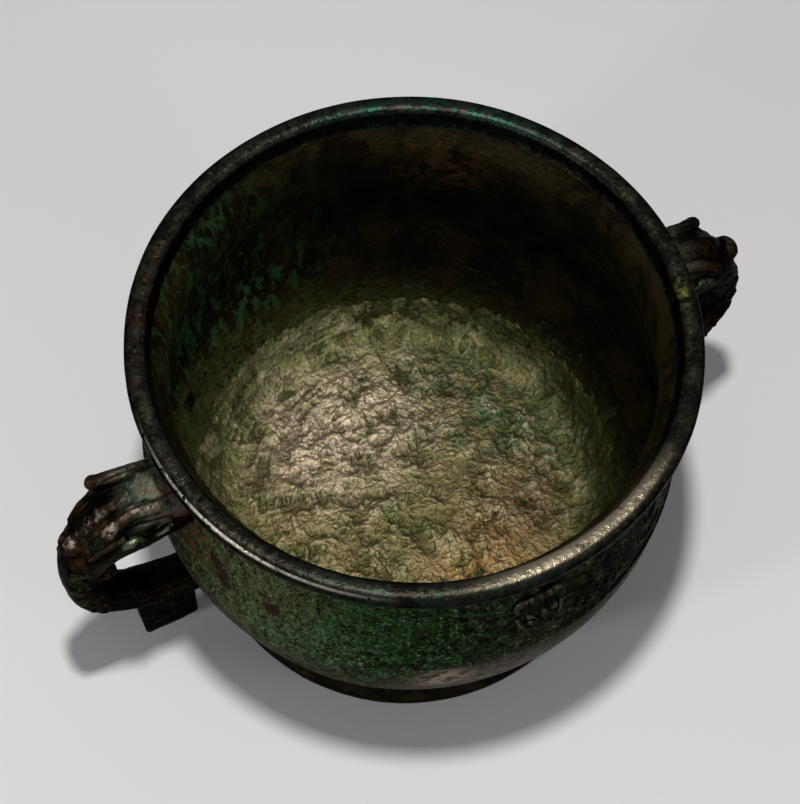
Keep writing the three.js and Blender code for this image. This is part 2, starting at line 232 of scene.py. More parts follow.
board = Finish("pale_board")
board_paint = board.end({
    "Base Color": board.coats(tone(200, 200, 203), (board.noise(0.4, 2), tone(205, 205, 207))),
    "Roughness": 0.85,
    "Specular IOR Level": 0.2,
})

floor_mesh = bpy.data.meshes.new("studio_floor")
half_floor = FLOOR_WIDTH / 2
floor_corners = [(-half_floor, -half_floor, 0), (half_floor, -half_floor, 0), (half_floor, half_floor, 0),
                 (-half_floor, half_floor, 0)]
floor_mesh.from_pydata(floor_corners, [], [(0, 1, 2, 3)])
floor_mesh.materials.append(board_paint)
studio_floor = bpy.data.objects.new("studio_floor", floor_mesh)
bpy.context.scene.collection.objects.link(studio_floor)

world = bpy.data.worlds.new("studio")
bpy.context.scene.world = world
world.use_nodes = True
sky = Tree(world.node_tree)
ray = sky.node("ShaderNodeLightPath")
seen = ray["Is Camera Ray"].most(ray["Is Glossy Ray"]).most(ray["Is Transmission Ray"])
dim = sky.node("ShaderNodeBackground", {}, {"Color": ROOM_COLOUR, "Strength": ROOM_STRENGTH})
pale = sky.node("ShaderNodeBackground", {}, {"Color": tone(208, 208, 211), "Strength": 1.0})
both = sky.node("ShaderNodeMixShader", {}, {0: seen, 1: dim[0], 2: pale[0]})
sky.node("ShaderNodeOutputWorld", {}, {"Surface": both[0]})


def hang_lamp(name, place, size, power, colour):
    lamp = bpy.data.lights.new(name, "AREA")
    lamp.shape = "DISK"
    lamp.size = size
    lamp.energy = power
    lamp.color = colour
    holder = bpy.data.objects.new(name, lamp)
    holder.location = place
    holder.rotation_euler = (Vector(LAMP_AIM) - Vector(place)).to_track_quat("-Z", "Y").to_euler()
    bpy.context.scene.collection.objects.link(holder)


hang_lamp("top_lamp", **TOP_LAMP)
hang_lamp("side_lamp", **SIDE_LAMP)
hang_lamp("front_lamp", **FRONT_LAMP)

back = Vector((math.sin(CAMERA_AZIMUTH) * math.cos(CAMERA_ELEVATION),
               -math.cos(CAMERA_AZIMUTH) * math.cos(CAMERA_ELEVATION), math.sin(CAMERA_ELEVATION)))
level_right = Vector((math.cos(CAMERA_AZIMUTH), math.sin(CAMERA_AZIMUTH), 0))
level_up = back.cross(level_right)
right = level_right * math.cos(CAMERA_TILT) + level_up * math.sin(CAMERA_TILT)
up = level_up * math.cos(CAMERA_TILT) - level_right * math.sin(CAMERA_TILT)
eye = Vector((0, 0, AIM_HEIGHT)) + back * CAMERA_DISTANCE + level_right * CAMERA_ASIDE + level_up * CAMERA_LIFT
camera = bpy.data.objects.new("camera", bpy.data.cameras.new("camera"))
camera.data.sensor_width = SENSOR_WIDTH
camera.data.lens = SENSOR_WIDTH * FOCAL_PIXELS / PICTURE_HEIGHT
camera.data.clip_end = FARTHEST_SEEN
camera.matrix_world = Matrix.Translation(eye) @ Matrix((right, up, back)).transposed().to_4x4()
bpy.context.scene.collection.objects.link(camera)
bpy.context.scene.camera = camera
bpy.context.scene.view_settings.view_transform = "Standard"

# Bowl
# One heavy bronze casting about 4 mm thick: floor, round belly, short hollow neck, and a thick round lip. It was
# poured in clay moulds, then lay in wet earth, which pitted the inside and grew green and brown crusts.
RIM_RADIUS = 0.105
HEIGHT = 0.159
LIP_WIDTH = 0.0086
LIP_THICKNESS = 0.0084
LIP_SQUARENESS = 0.8  # 1 gives a round lip, less a flatter top and firmer edges
NECK_RADIUS = 0.0945
NECK_HEIGHT = 0.138
BELLY_RADIUS = 0.1027
BELLY_HEIGHT = 0.086
WALL = 0.004
BASE_RADIUS = 0.078
BASE_HEIGHT = 0.023
FLOOR_TOP = 0.028
LEVEL_FLOOR_RADIUS = 0.066
FULLNESS = 0.38
CRUST_SEAT = 0.0004  # the floor lies this far down under its crust
CRUST_SEAT_RADIUS = 0.080
BAND_LOW = 0.0905
BAND_HIGH = 0.1312
BAND_SEAT = 0.0005  # the wall lies this far back under the band
BAND_SEAT_RUN = 0.001
BOWL_SEGMENTS = 416
LIP_ROWS_OUTSIDE = 9
LIP_RADIUS = RIM_RADIUS - LIP_WIDTH / 2
LIP_HEIGHT = HEIGHT - LIP_THICKNESS / 2
# Patches of the bowl's finish: middle and reach of each
GREEN_WALL = ((-0.060, 0.070, 0.085), 0.095)
RUST_RUN = ((0.053, 0.074, 0.124), 0.032)
MALACHITE_SIDE = ((-0.056, -0.082, 0.108), 0.070)
OLIVE_SIDE = ((-0.088, -0.046, 0.108), 0.056)
VIVID_GREEN = ((-0.057, -0.078, 0.119), 0.034)
TURQUOISE = ((-0.078, -0.066, 0.092), 0.030)
SUNKEN_SPOTS = [((-0.0958, -0.0285, 0.1105), 0.0040), ((-0.0952, -0.0318, 0.1065), 0.0044),
                ((-0.0945, -0.0350, 0.1028), 0.0036)]
BROWN_RUN = ((-0.098, -0.020, 0.112), 0.016)
GREY_SHEEN = ((0.006, -0.098, 0.072), 0.070)
PINK_SHEEN = ((-0.036, -0.095, 0.078), 0.015)
LIP_GREEN_GREY = ((-0.040, -0.095, 0.157), 0.080)
LIP_TEAL = ((0.055, 0.090, 0.157), 0.070)
LIP_YELLOW = ((0.0963, -0.0294, 0.157), 0.009)
LIP_BROWN = ((-0.085, 0.050, 0.157), 0.050)
LIP_FRONT_HIGHLIGHT = ((0.016, -0.100, 0.158), 0.052)
LIP_EDGE_HIGHLIGHT = ((-0.098, -0.046, 0.157), 0.066)
BRONZE_TINT = (0.42, 0.42, 0.42, 1.0)  # old bronze hardly mirrors more at a flat angle


def bend(points, steps):
    """Points along a cubic curve, without its first point"""
    share = np.linspace(0, 1, steps + 1)[1:, None]
    a, b, c, d = (np.array(point) for point in points)
    return (1 - share) ** 3 * a + 3 * (1 - share) ** 2 * share * b + 3 * (1 - share) * share**2 * c + share**3 * d


def level_line(start, end, steps):
    return np.linspace(start, end, steps + 1)[1:]


belly_rise = BELLY_HEIGHT - BASE_HEIGHT
neck_rise = NECK_HEIGHT - BELLY_HEIGHT
lip_rise = HEIGHT - LIP_THICKNESS - NECK_HEIGHT
floor_rise = BELLY_HEIGHT - FLOOR_TOP
inner_neck = NECK_RADIUS - WALL
inner_belly = BELLY_RADIUS - WALL
lip_edge = LIP_RADIUS - LIP_WIDTH / 2
belly_curve = [(BASE_RADIUS, BASE_HEIGHT),
               (BASE_RADIUS + (BELLY_RADIUS - BASE_RADIUS) / 2, BASE_HEIGHT + belly_rise / 7),
               (BELLY_RADIUS, BELLY_HEIGHT - FULLNESS * belly_rise), (BELLY_RADIUS, BELLY_HEIGHT)]
shoulder_curve = [(BELLY_RADIUS, BELLY_HEIGHT), (BELLY_RADIUS, BELLY_HEIGHT + FULLNESS * neck_rise),
                  (NECK_RADIUS, NECK_HEIGHT - FULLNESS * neck_rise), (NECK_RADIUS, NECK_HEIGHT)]
neck_curve = [(NECK_RADIUS, NECK_HEIGHT), (NECK_RADIUS, NECK_HEIGHT + lip_rise / 2),
              (NECK_RADIUS + (LIP_RADIUS - NECK_RADIUS) / 3, HEIGHT - LIP_THICKNESS),
              (LIP_RADIUS, HEIGHT - LIP_THICKNESS)]
wall_line = np.vstack([[belly_curve[0]], bend(belly_curve, 60), bend(shoulder_curve, 60), bend(neck_curve, 30)])


def wall_radius(height):
    """Outside of the bowl at this height"""
    return np.interp(height, wall_line[:, 1], wall_line[:, 0])


lip_turns = np.radians(np.linspace(-90, 180, 33)[1:])
lip_across, lip_up = (np.sign(part) * abs(part) ** LIP_SQUARENESS for part in (np.cos(lip_turns), np.sin(lip_turns)))
lip_line = np.column_stack([LIP_RADIUS + lip_across * LIP_WIDTH / 2, LIP_HEIGHT + lip_up * LIP_THICKNESS / 2])
outside_rows = [
    np.array([[0, BASE_HEIGHT]]),
    level_line((0, BASE_HEIGHT), (BASE_RADIUS, BASE_HEIGHT), 7),
    bend(belly_curve, 34),
    bend(shoulder_curve, 26),
    bend(neck_curve, 9),
]
inside_rows = [
    lip_line,
    bend([(lip_edge, LIP_HEIGHT), (lip_edge, LIP_HEIGHT - LIP_THICKNESS / 2),
          (inner_neck, NECK_HEIGHT + lip_rise / 2), (inner_neck, NECK_HEIGHT)], 11),
    bend([(inner_neck, NECK_HEIGHT), (inner_neck, NECK_HEIGHT - FULLNESS * neck_rise),
          (inner_belly, BELLY_HEIGHT + FULLNESS * neck_rise), (inner_belly, BELLY_HEIGHT)], 25),
    bend([(inner_belly, BELLY_HEIGHT), (inner_belly, BELLY_HEIGHT - FULLNESS * floor_rise),
          (LEVEL_FLOOR_RADIUS + FULLNESS * floor_rise, FLOOR_TOP), (LEVEL_FLOOR_RADIUS, FLOOR_TOP)], 42),
    level_line((LEVEL_FLOOR_RADIUS, FLOOR_TOP), (0, FLOOR_TOP), 50),
]
outside_line = np.vstack(outside_rows)
behind_band = (np.clip((outside_line[:, 1] - BAND_LOW) / BAND_SEAT_RUN, 0, 1)
               * np.clip((BAND_HIGH - outside_line[:, 1]) / BAND_SEAT_RUN, 0, 1))
outside_line[:, 0] -= BAND_SEAT * behind_band
inside_line = np.vstack(inside_rows)
under_crust = np.clip((CRUST_SEAT_RADIUS - inside_line[:, 0]) / 0.002, 0, 1)
inside_line[:, 1] -= CRUST_SEAT * under_crust
bowl_line = np.vstack([outside_line, inside_line])
first_inside_row = len(outside_line) + LIP_ROWS_OUTSIDE


FLOAT = "NodeSocketFloat"
WHOLE = "NodeSocketInt"
OBJECT = "NodeSocketObject"


class Shape(Tree):
    """A tree of nodes that makes a shape from a source mesh, with named inputs for its sizes"""

    def __init__(self, name, inputs):
        group = bpy.data.node_groups.new(name, "GeometryNodeTree")
        group.interface.new_socket("Source", in_out="INPUT", socket_type="NodeSocketGeometry")
        for label, (kind, value) in inputs.items():
            socket = group.interface.new_socket(label, in_out="INPUT", socket_type=kind)
            if value is not None:
                socket.default_value = value
        group.interface.new_socket("Finish", in_out="INPUT", socket_type="NodeSocketMaterial")
        group.interface.new_socket("Shape", in_out="OUTPUT", socket_type="NodeSocketGeometry")
        super().__init__(group)
        self.given = self.node("NodeGroupInput")
        self.stand_at(self.node("GeometryNodeInputPosition")[0])
        self.normal = self.node("GeometryNodeInputNormal")[0]

    def store(self, geometry, name, value):
        """The geometry with a number stored at each of its points"""
        return self.node(
            "GeometryNodeStoreNamedAttribute",
            {"data_type": "FLOAT", "domain": "POINT"},
            {"Geometry": geometry, "Name": name, "Value": value},
        )[0]

    def stored(self, name, kind="FLOAT"):
        return self.node("GeometryNodeInputNamedAttribute", {"data_type": kind}, {"Name": name})[0]

    def scaled(self, vector, amount):
        return self.node("ShaderNodeVectorMath", {"operation": "SCALE"}, {0: vector, "Scale": amount})[0]

    def added(self, first, second):
        return self.node("ShaderNodeVectorMath", {"operation": "ADD"}, {0: first, 1: second})[0]

    def moved(self, geometry, offset):
        return self.node("GeometryNodeSetPosition", {}, {"Geometry": geometry, "Offset": offset})[0]

    def end(self, geometry, smooth=True):
        """Closes the tree: smooth shading or none, plain geometry and the finish"""
        if smooth:
            geometry = self.node("GeometryNodeSetShadeSmooth", {}, {0: geometry})[0]
        whole = self.node("GeometryNodeRealizeInstances", {}, {0: geometry})[0]
        sockets = {"Geometry": whole, "Material": self.given["Finish"]}
        self.node("NodeGroupOutput", {}, {0: self.node("GeometryNodeSetMaterial", {}, sockets)[0]})

    def grow(self, name, source, values):
        """The plain mesh that the tree makes from a source mesh"""
        holder = bpy.data.objects.new(name + "_holder", source)
        bpy.context.scene.collection.objects.link(holder)
        modifier = holder.modifiers.new("Shape", "NODES")
        modifier.node_group = self.nodes
        for item in self.nodes.interface.items_tree:
            if item.item_type == "SOCKET" and item.name in values:
                modifier[item.identifier] = values[item.name]
        bpy.context.view_layer.update()
        mesh = bpy.data.meshes.new_from_object(holder.evaluated_get(bpy.context.evaluated_depsgraph_get()))
        mesh.name = name
        bpy.data.objects.remove(holder)
        return mesh


turned = Shape("turned_wall", {
    "Around": (WHOLE, BOWL_SEGMENTS),
    "Inside From": (FLOAT, 1000.0),
    "Sway": (FLOAT, 0.0006),
    "Outside Grain": (FLOAT, 0.0003),
    "Inside Grain": (FLOAT, 0.0011),
})
given = turned.given
source_size = turned.node("GeometryNodeAttributeDomainSize", {"component": "MESH"}, {0: given["Source"]})
row_count = source_size["Point Count"]
sheet = turned.node("GeometryNodeMeshGrid", {}, {
    "Vertices X": given["Around"] + 1, "Vertices Y": row_count,
})["Mesh"]
number = turned.node("GeometryNodeInputIndex")[0]
turn_number = ((number + 0.5) / row_count).whole()
row_number = number - turn_number * row_count
profile_point = turned.node(
    "GeometryNodeSampleIndex",
    {"data_type": "FLOAT_VECTOR", "domain": "POINT"},
    {"Geometry": given["Source"], "Value": turned.place, "Index": row_number},
)[0]
profile = turned.node("ShaderNodeSeparateXYZ", {}, {0: profile_point})
angle = turn_number * (2 * math.pi) / given["Around"]
wrapped = turned.node("GeometryNodeSetPosition", {}, {
    "Geometry": sheet,
    "Position": turned.vector(profile["X"] * angle.cosine(), profile["X"] * angle.sine(), profile["Z"]),
})[0]
marked = turned.store(wrapped, "inside", (row_number - given["Inside From"]).fade(-3.0, 3.0))
closed = turned.node("GeometryNodeMergeByDistance", {}, {"Geometry": marked, "Distance": 0.00002})[0]
inside_here = turned.stored("inside")
sway = (turned.noise(0.07, 2) - 0.5) * 2 * given["Sway"]
outside_grain = (turned.noise(0.016, 3) - 0.5) * 1.6 + (turned.noise(0.005, 2) - 0.5) * 0.6
wrinkles = (turned.noise(0.0085, 4, 0.62, 0.9) - 0.5) * 1.7 + (turned.noise(0.0036, 3, 0.6, 0.4) - 0.5) * 1.1
rough_wall = turned.z.fade(0.028, 0.033) * turned.z.fade(0.158, 0.148)
push = (sway + outside_grain * given["Outside Grain"] * (1 - inside_here)
        + wrinkles * given["Inside Grain"] * inside_here * rough_wall)
turned.end(turned.moved(closed, turned.scaled(turned.normal, push)))


def lathe(name, line, finish, **values):
    """A turned body from its profile, which runs with the metal on its left"""
    source = bpy.data.meshes.new(name + "_profile")
    source.from_pydata([(float(radius), 0, float(height)) for radius, height in line], [], [])
    settings = {key.replace("_", " ").title(): value for key, value in values.items()}
    return turned.grow(name, source, {"Finish": finish, **settings})


def show(name, mesh, finish=None):
    """A piece at the origin, with its place in its mesh"""
    if finish is not None:
        mesh.materials.clear()
        mesh.materials.append(finish)
    piece = bpy.data.objects.new(name, mesh)
    bpy.context.scene.collection.objects.link(piece)
    return piece


def places_and_normals(mesh):
    places = np.empty(len(mesh.vertices) * 3)
    mesh.vertices.foreach_get("co", places)
    normals = np.empty(len(mesh.vertices) * 3)
    mesh.vertex_normals.foreach_get("vector", normals)
    return places.reshape(-1, 3), normals.reshape(-1, 3)


def fine_crust(finish, size=1.0):
    """The fine skin of corrosion for a relief: heights of grains, of small blisters and of pits"""
    grains = finish.noise(0.0016 * size, 3, 0.65) - 0.5
    blisters = finish.cells(0.0034 * size).fade(0.55, 0.1)
    pits = finish.cells(0.0062 * size).fade(0.16, 0.02) * finish.noise(0.02, 2).fade(0.5, 0.62)
    return grains, blisters, pits


metal = Finish("bowl_bronze")
inside_mask = metal.stored("inside")
clouds = metal.noise(0.045, 4)
patches = metal.noise(0.017, 5, 0.62, 0.4)
spots = metal.noise(0.006, 4, 0.6, 0.3)
crumbs = metal.noise(0.0042, 6, 0.72, 0.2)
specks = metal.noise(0.0022, 3, 0.6)
crystals = metal.noise(0.0013, 3, 0.6)
grains, blisters, pits = fine_crust(metal)

# Inside: near black wall with dull green on the left, olive close to the floor, a rusty run and faint drips behind
streaks = metal.noise(0.0045, 4, 0.62, 0.4, metal.vector(metal.x, metal.y, metal.z * 0.35)) * 0.7 + specks * 0.3
long_streaks = metal.noise(0.0022, 3, 0.6, 0.3, metal.vector(metal.x, metal.y, metal.z * 0.1))
drips = long_streaks.fade(0.62, 0.7) * clouds.fade(0.46, 0.58) * metal.z.fade(0.06, 0.08)
low_wall = (metal.z + (patches - 0.5) * 0.05 + metal.x * 0.16 + metal.y * 0.05).fade(0.064, 0.034)
inner_tone = metal.coats(
    tone(17, 13, 6),
    (patches.fade(0.42, 0.62), tone(36, 30, 16)),
    (metal.near(GREEN_WALL, 0.7) * streaks.fade(0.48, 0.60), tone(48, 88, 50)),
    (metal.near(RUST_RUN, 0.8) * spots.fade(0.47, 0.58), tone(58, 44, 24)),
    (specks.fade(0.6, 0.7) * 0.4, tone(36, 38, 24)),
    (drips * 0.5, tone(52, 48, 32)),
    (low_wall * (spots * 0.5 + specks * 0.5).fade(0.32, 0.58), tone(66, 68, 38)),
    (low_wall * specks.fade(0.55, 0.64) * 0.7, tone(24, 52, 30)),
)

# Outside: crumbly brown and olive with malachite, a smooth skin in front lightened by a painted grey and pink sheen,
# black gloss on the right
grit = crumbs * 0.5 + crystals * 0.5
malachite = (metal.near(MALACHITE_SIDE, 0.8) + metal.noise(0.05, 3).fade(0.56, 0.66) * 0.7).least(1.0)
olive_side = metal.near(OLIVE_SIDE, 0.8) * (crumbs * 0.45 + crystals * 0.55).fade(0.38, 0.58)
vivid = metal.near(VIVID_GREEN, 0.7) * (spots * 0.5 + crystals * 0.5).fade(0.46, 0.56)
turquoise = metal.near(TURQUOISE, 0.8) * (crumbs * 0.4 + crystals * 0.6).fade(0.48, 0.58)
low_olive = metal.z.fade(0.090, 0.060) * metal.x.fade(-0.02, -0.06) * grit.fade(0.42, 0.58)
first_spot, second_spot, third_spot = (metal.near(spot, 0.4) for spot in SUNKEN_SPOTS)
sunken = first_spot.most(second_spot).most(third_spot)
# Smooth worn skin low on the front belly; its pale grey colour is a painted sheen, a reflection of the floor
sheen_place = metal.near(GREY_SHEEN, 0.6).most(metal.noise(0.07, 2).fade(0.6, 0.68) * 0.8)
smooth_skin_and_sheen = sheen_place * (metal.z + (crumbs - 0.5) * 0.06).fade(0.096, 0.060) * crumbs.fade(0.68, 0.44)
gloss_side = (metal.x + (clouds - 0.5) * 0.10).fade(-0.006, 0.026) * metal.y.fade(0.03, -0.01)
outer_tone = metal.coats(
    tone(16, 17, 9),
    (crumbs.fade(0.42, 0.58), tone(46, 46, 28)),
    (clouds.fade(0.5, 0.62) * spots.fade(0.4, 0.56) * 0.8, tone(44, 28, 17)),
    (malachite * crumbs.fade(0.44, 0.53), tone(22, 38, 22)),
    (malachite * grit.fade(0.48, 0.58), tone(48, 78, 50)),
    (olive_side * 0.9, tone(78, 88, 58)),
    (vivid * 0.6, tone(30, 62, 28)),
    (turquoise * 0.65, tone(62, 100, 78)),
    (low_olive * 0.7, tone(70, 74, 46)),
    # pale crystal grains, lightened further as painted glints
    (crystals.fade(0.58, 0.66) * crumbs.fade(0.46, 0.56) * 0.75, tone(122, 132, 98)),
    (crystals.fade(0.43, 0.33) * 0.6, tone(9, 11, 6)),
    (sunken * 0.9, tone(30, 22, 16)),
    (metal.near(BROWN_RUN, 0.8) * spots.fade(0.42, 0.56) * 0.8, tone(86, 56, 30)),
    # painted grey sheen on the smooth skin
    (smooth_skin_and_sheen * 0.8, tone(122, 114, 105)),
    # painted pinkish sheen spot on the smooth skin
    (metal.near(PINK_SHEEN, 0.8) * spots.fade(0.42, 0.54) * 0.7, tone(168, 146, 132)),
    (gloss_side * (1 - smooth_skin_and_sheen) * crumbs.fade(0.6, 0.5), tone(14, 13, 9)),
)

# Lip: near black, brown on the left, teal at the back, a yellow-green spot on the right, rubbed in front under a
# painted pale highlight, and a painted highlight line on the left outer edge
yellow_spot = metal.near(LIP_YELLOW, 0.8) * specks.fade(0.46, 0.56) * metal.from_axis.fade(0.1025, 0.1000)
# rubbed metal at the lip's front, lightened as a painted highlight
front_rub_and_highlight = (metal.near(LIP_FRONT_HIGHLIGHT, 0.7) * metal.from_axis.fade(0.1032, 0.1016)
             * (patches * 0.6 + specks * 0.4).fade(0.32, 0.48))
# a painted highlight line along the lip's outer edge on the left
edge_highlight = (metal.from_axis.fade(0.1035, 0.1039) * metal.z.fade(0.1571, 0.1575) * specks.fade(0.34, 0.46)
            * metal.near(LIP_EDGE_HIGHLIGHT, 0.5))
lip_tone = metal.coats(
    tone(21, 20, 17),
    (spots.fade(0.42, 0.6), tone(36, 35, 29)),
    (metal.near(LIP_GREEN_GREY, 0.9) * patches.fade(0.44, 0.56) * 0.6, tone(32, 40, 35)),
    (metal.near(LIP_TEAL, 0.8) * crumbs.fade(0.44, 0.56), tone(24, 46, 38)),
    (yellow_spot, tone(72, 74, 36)),
    (metal.near(LIP_BROWN, 0.8) * crumbs.fade(0.54, 0.6), tone(52, 34, 28)),
    (specks.fade(0.62, 0.69) * 0.4, tone(72, 70, 58)),
    (specks.fade(0.42, 0.35) * 0.6, tone(9, 8, 5)),
    # painted highlights: broad in front, a thin line on the left edge
    (front_rub_and_highlight * 0.8, tone(128, 119, 101)),
    (edge_highlight * 0.8, tone(150, 144, 128)),
)

lip_mask = (metal.z + (spots - 0.5) * 0.0012).fade(0.1502, 0.1516)
outer_rub = smooth_skin_and_sheen.most(gloss_side * 0.6) * (1 - inside_mask)
rubbed = lip_mask.most(outer_rub)
worn_off = olive_side * (1 - inside_mask) * 0.3 + inside_mask * (1 - lip_mask) * 0.3
fine_height = grains * 1.1 + (spots - 0.5) * 1.2 + blisters * 0.2 - pits * 0.5
bowl_bronze = metal.end({
    "Base Color": metal.coats(outer_tone, (inside_mask, inner_tone), (lip_mask, lip_tone)),
    "Roughness": (0.52 - rubbed * 0.18 + (specks - 0.5) * 0.35 + (spots - 0.5) * 0.25).most(0.2).least(0.95),
    "Metallic": 0.86 + lip_mask * 0.14 - worn_off,
    "Specular IOR Level": 0.07,
    "Specular Tint": BRONZE_TINT,
    "Normal": metal.relief(0.0006, fine_height * (1 - lip_mask * 0.6 - outer_rub * 0.3)),
})

bowl_mesh = lathe("bowl", bowl_line, bowl_bronze, inside_from=float(first_inside_row))
bowl = show("bowl_casting", bowl_mesh)
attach(bowl, "root")
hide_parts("bowl")

# Floor crust
# A hard skin of corrosion about a millimetre thick that grew over the floor. It is lumpy, pitted and grainy, lies in
# arcs round the middle on the left, and thins out where the wall begins.
CRUST_REACH = 0.0905
CRUST_CELLS = 304
CRUST_DEPTH = 0.0030  # its back lies this far under the floor's surface
CRUST_SIDES = (0.995, 0.9, 0.8)  # how its underside draws in
ARC_RADIUS = 0.034
ROUGHEST_PLACE = (-0.028, 0.024)
DEEPEST_HOLLOW = -0.0006
RELIEF_SPAN = 0.0014
# Patches of the crust's finish: middle and reach of each
PALE_MIDDLE_AND_LIGHT_POOL = ((-0.010, 0.044, 0.028), 0.058)
PINK_PATCH = ((0.040, -0.026, 0.028), 0.040)
ORANGE_FRONT = ((0.010, -0.060, 0.030), 0.045)
GREEN_SIDE = ((0.075, 0.020, 0.030), 0.085)
TEAL_BLOTS = ((0.046, 0.018, 0.028), 0.040)
BACK_EDGE = ((0.0, 0.080, 0.038), 0.055)

floor_line = np.vstack(inside_rows[3:])[::-1]


def floor_height(radius):
    """Top of the floor and the low wall at this distance from the axis"""
    return np.interp(radius, floor_line[:, 0], floor_line[:, 1])


cell_lines = np.linspace(-1, 1, CRUST_CELLS + 1)
square_x, square_y = (part.ravel() for part in np.meshgrid(cell_lines, cell_lines))
ring_share = np.maximum(abs(square_x), abs(square_y)) / np.maximum(np.hypot(square_x, square_y), 1e-9)
disc_x, disc_y = square_x * ring_share * CRUST_REACH, square_y * ring_share * CRUST_REACH
crust_points = [np.column_stack([disc_x, disc_y, floor_height(np.hypot(disc_x, disc_y))])]
numbers = np.arange((CRUST_CELLS + 1) ** 2).reshape(CRUST_CELLS + 1, CRUST_CELLS + 1)
crust_faces = np.column_stack([numbers[:-1, :-1].ravel(), numbers[:-1, 1:].ravel(), numbers[1:, 1:].ravel(),
                               numbers[1:, :-1].ravel()]).tolist()
rim_loop = np.concatenate([numbers[0, :-1], numbers[:-1, -1], numbers[-1, :0:-1], numbers[:0:-1, 0]])
rim_places = crust_points[0][rim_loop]
upper_loop = rim_loop
for share in CRUST_SIDES:
    lower_points = rim_places * (share, share, 0)
    lower_points[:, 2] = floor_height(CRUST_REACH * share) - CRUST_DEPTH
    lower_loop = np.arange(len(rim_loop)) + sum(map(len, crust_points))
    crust_points.append(lower_points)
    side_faces = np.column_stack([upper_loop, lower_loop, np.roll(lower_loop, -1), np.roll(upper_loop, -1)])
    crust_faces += side_faces.tolist()
    upper_loop = lower_loop
crust_faces.append(upper_loop[::-1].tolist())
crust_source = bpy.data.meshes.new("crust_source")
crust_source.from_pydata(np.vstack(crust_points).tolist(), [], crust_faces)
is_top = crust_source.attributes.new("top", "FLOAT", "POINT")
is_top.data.foreach_set("value", (np.arange(len(crust_source.vertices)) < numbers.size).astype(float))

crusted = Shape("floor_crust", {
    "Rise": (FLOAT, 0.00025),
    "Arc Height": (FLOAT, 0.0026),
    "Lump Height": (FLOAT, 0.0038),
    "Fold Height": (FLOAT, 0.0007),
    "Grain Height": (FLOAT, 0.0012),
    "Edge": (FLOAT, 0.0862),
    "Edge Sway": (FLOAT, 0.0048),
    "Edge Rise": (FLOAT, 0.0002),
    "Edge Sink": (FLOAT, 0.0014),
})
given = crusted.given
round_middle = crusted.vector(
    crusted.x / (crusted.from_axis + 0.0001) * ARC_RADIUS,
    crusted.y / (crusted.from_axis + 0.0001) * ARC_RADIUS,
    crusted.from_axis * 4.5,
)
arc_place = crusted.from_axis.fade(0.02, 0.05) * crusted.x.fade(0.035, -0.02)
arcs = (crusted.noise(0.0085, 3, 0.6, 0.6, round_middle) - 0.5) * given["Arc Height"] * arc_place
lumps = (crusted.noise(0.0090, 4, 0.6, 0.6) - 0.5) * given["Lump Height"]
folds = (0.16 - abs(crusted.noise(0.0046, 3, 0.6, 0.8) * 2 - 1)) * given["Fold Height"]
grain = (crusted.noise(0.0021, 2, 0.6) - 0.5) * given["Grain Height"]
uneven = crusted.noise(0.016, 2, 0.5, 0.4).fade(0.38, 0.62, 0.55, 1.3)
from_roughest = ((crusted.x - ROUGHEST_PLACE[0]) ** 2 + (crusted.y - ROUGHEST_PLACE[1]) ** 2) ** 0.5
strength = crusted.from_axis.fade(0.072, 0.088, 1.0, 0.85) * uneven * from_roughest.fade(0.02, 0.055, 1.2, 1.0)
relief = ((arcs + lumps + folds + grain) * strength).most(DEEPEST_HOLLOW)
past_edge = crusted.from_axis - (given["Edge"] + (crusted.noise(0.02, 4, 0.6, 0.3) - 0.5) * given["Edge Sway"])
over_edge = past_edge.fade(-0.0022, 0.0018)
edge_lip = past_edge.fade(-0.008, -0.004) * given["Edge Rise"] * crusted.x.fade(0.04, 0.0)
crust_push = (given["Rise"] + edge_lip + relief) * (1 - over_edge) - over_edge * given["Edge Sink"]
crust_marked = crusted.store(given["Source"], "relief", (relief / RELIEF_SPAN + 0.45).fade(0.0, 1.0))
crusted.end(crusted.moved(crust_marked, crusted.scaled(crusted.normal, crust_push * crusted.stored("top"))))

skin = Finish("floor_crust")
height_share = skin.stored("relief")
skin_patches = skin.noise(0.015, 5, 0.65, 0.4)
skin_spots = skin.noise(0.005, 5, 0.65, 0.3)
skin_specks = skin.noise(0.0017, 4, 0.65)
skin_crystals = skin.noise(0.0011, 3, 0.6)
swaying_radius = skin.from_axis + (skin_patches - 0.5) * 0.02
edge_green = swaying_radius.fade(0.046, 0.082)
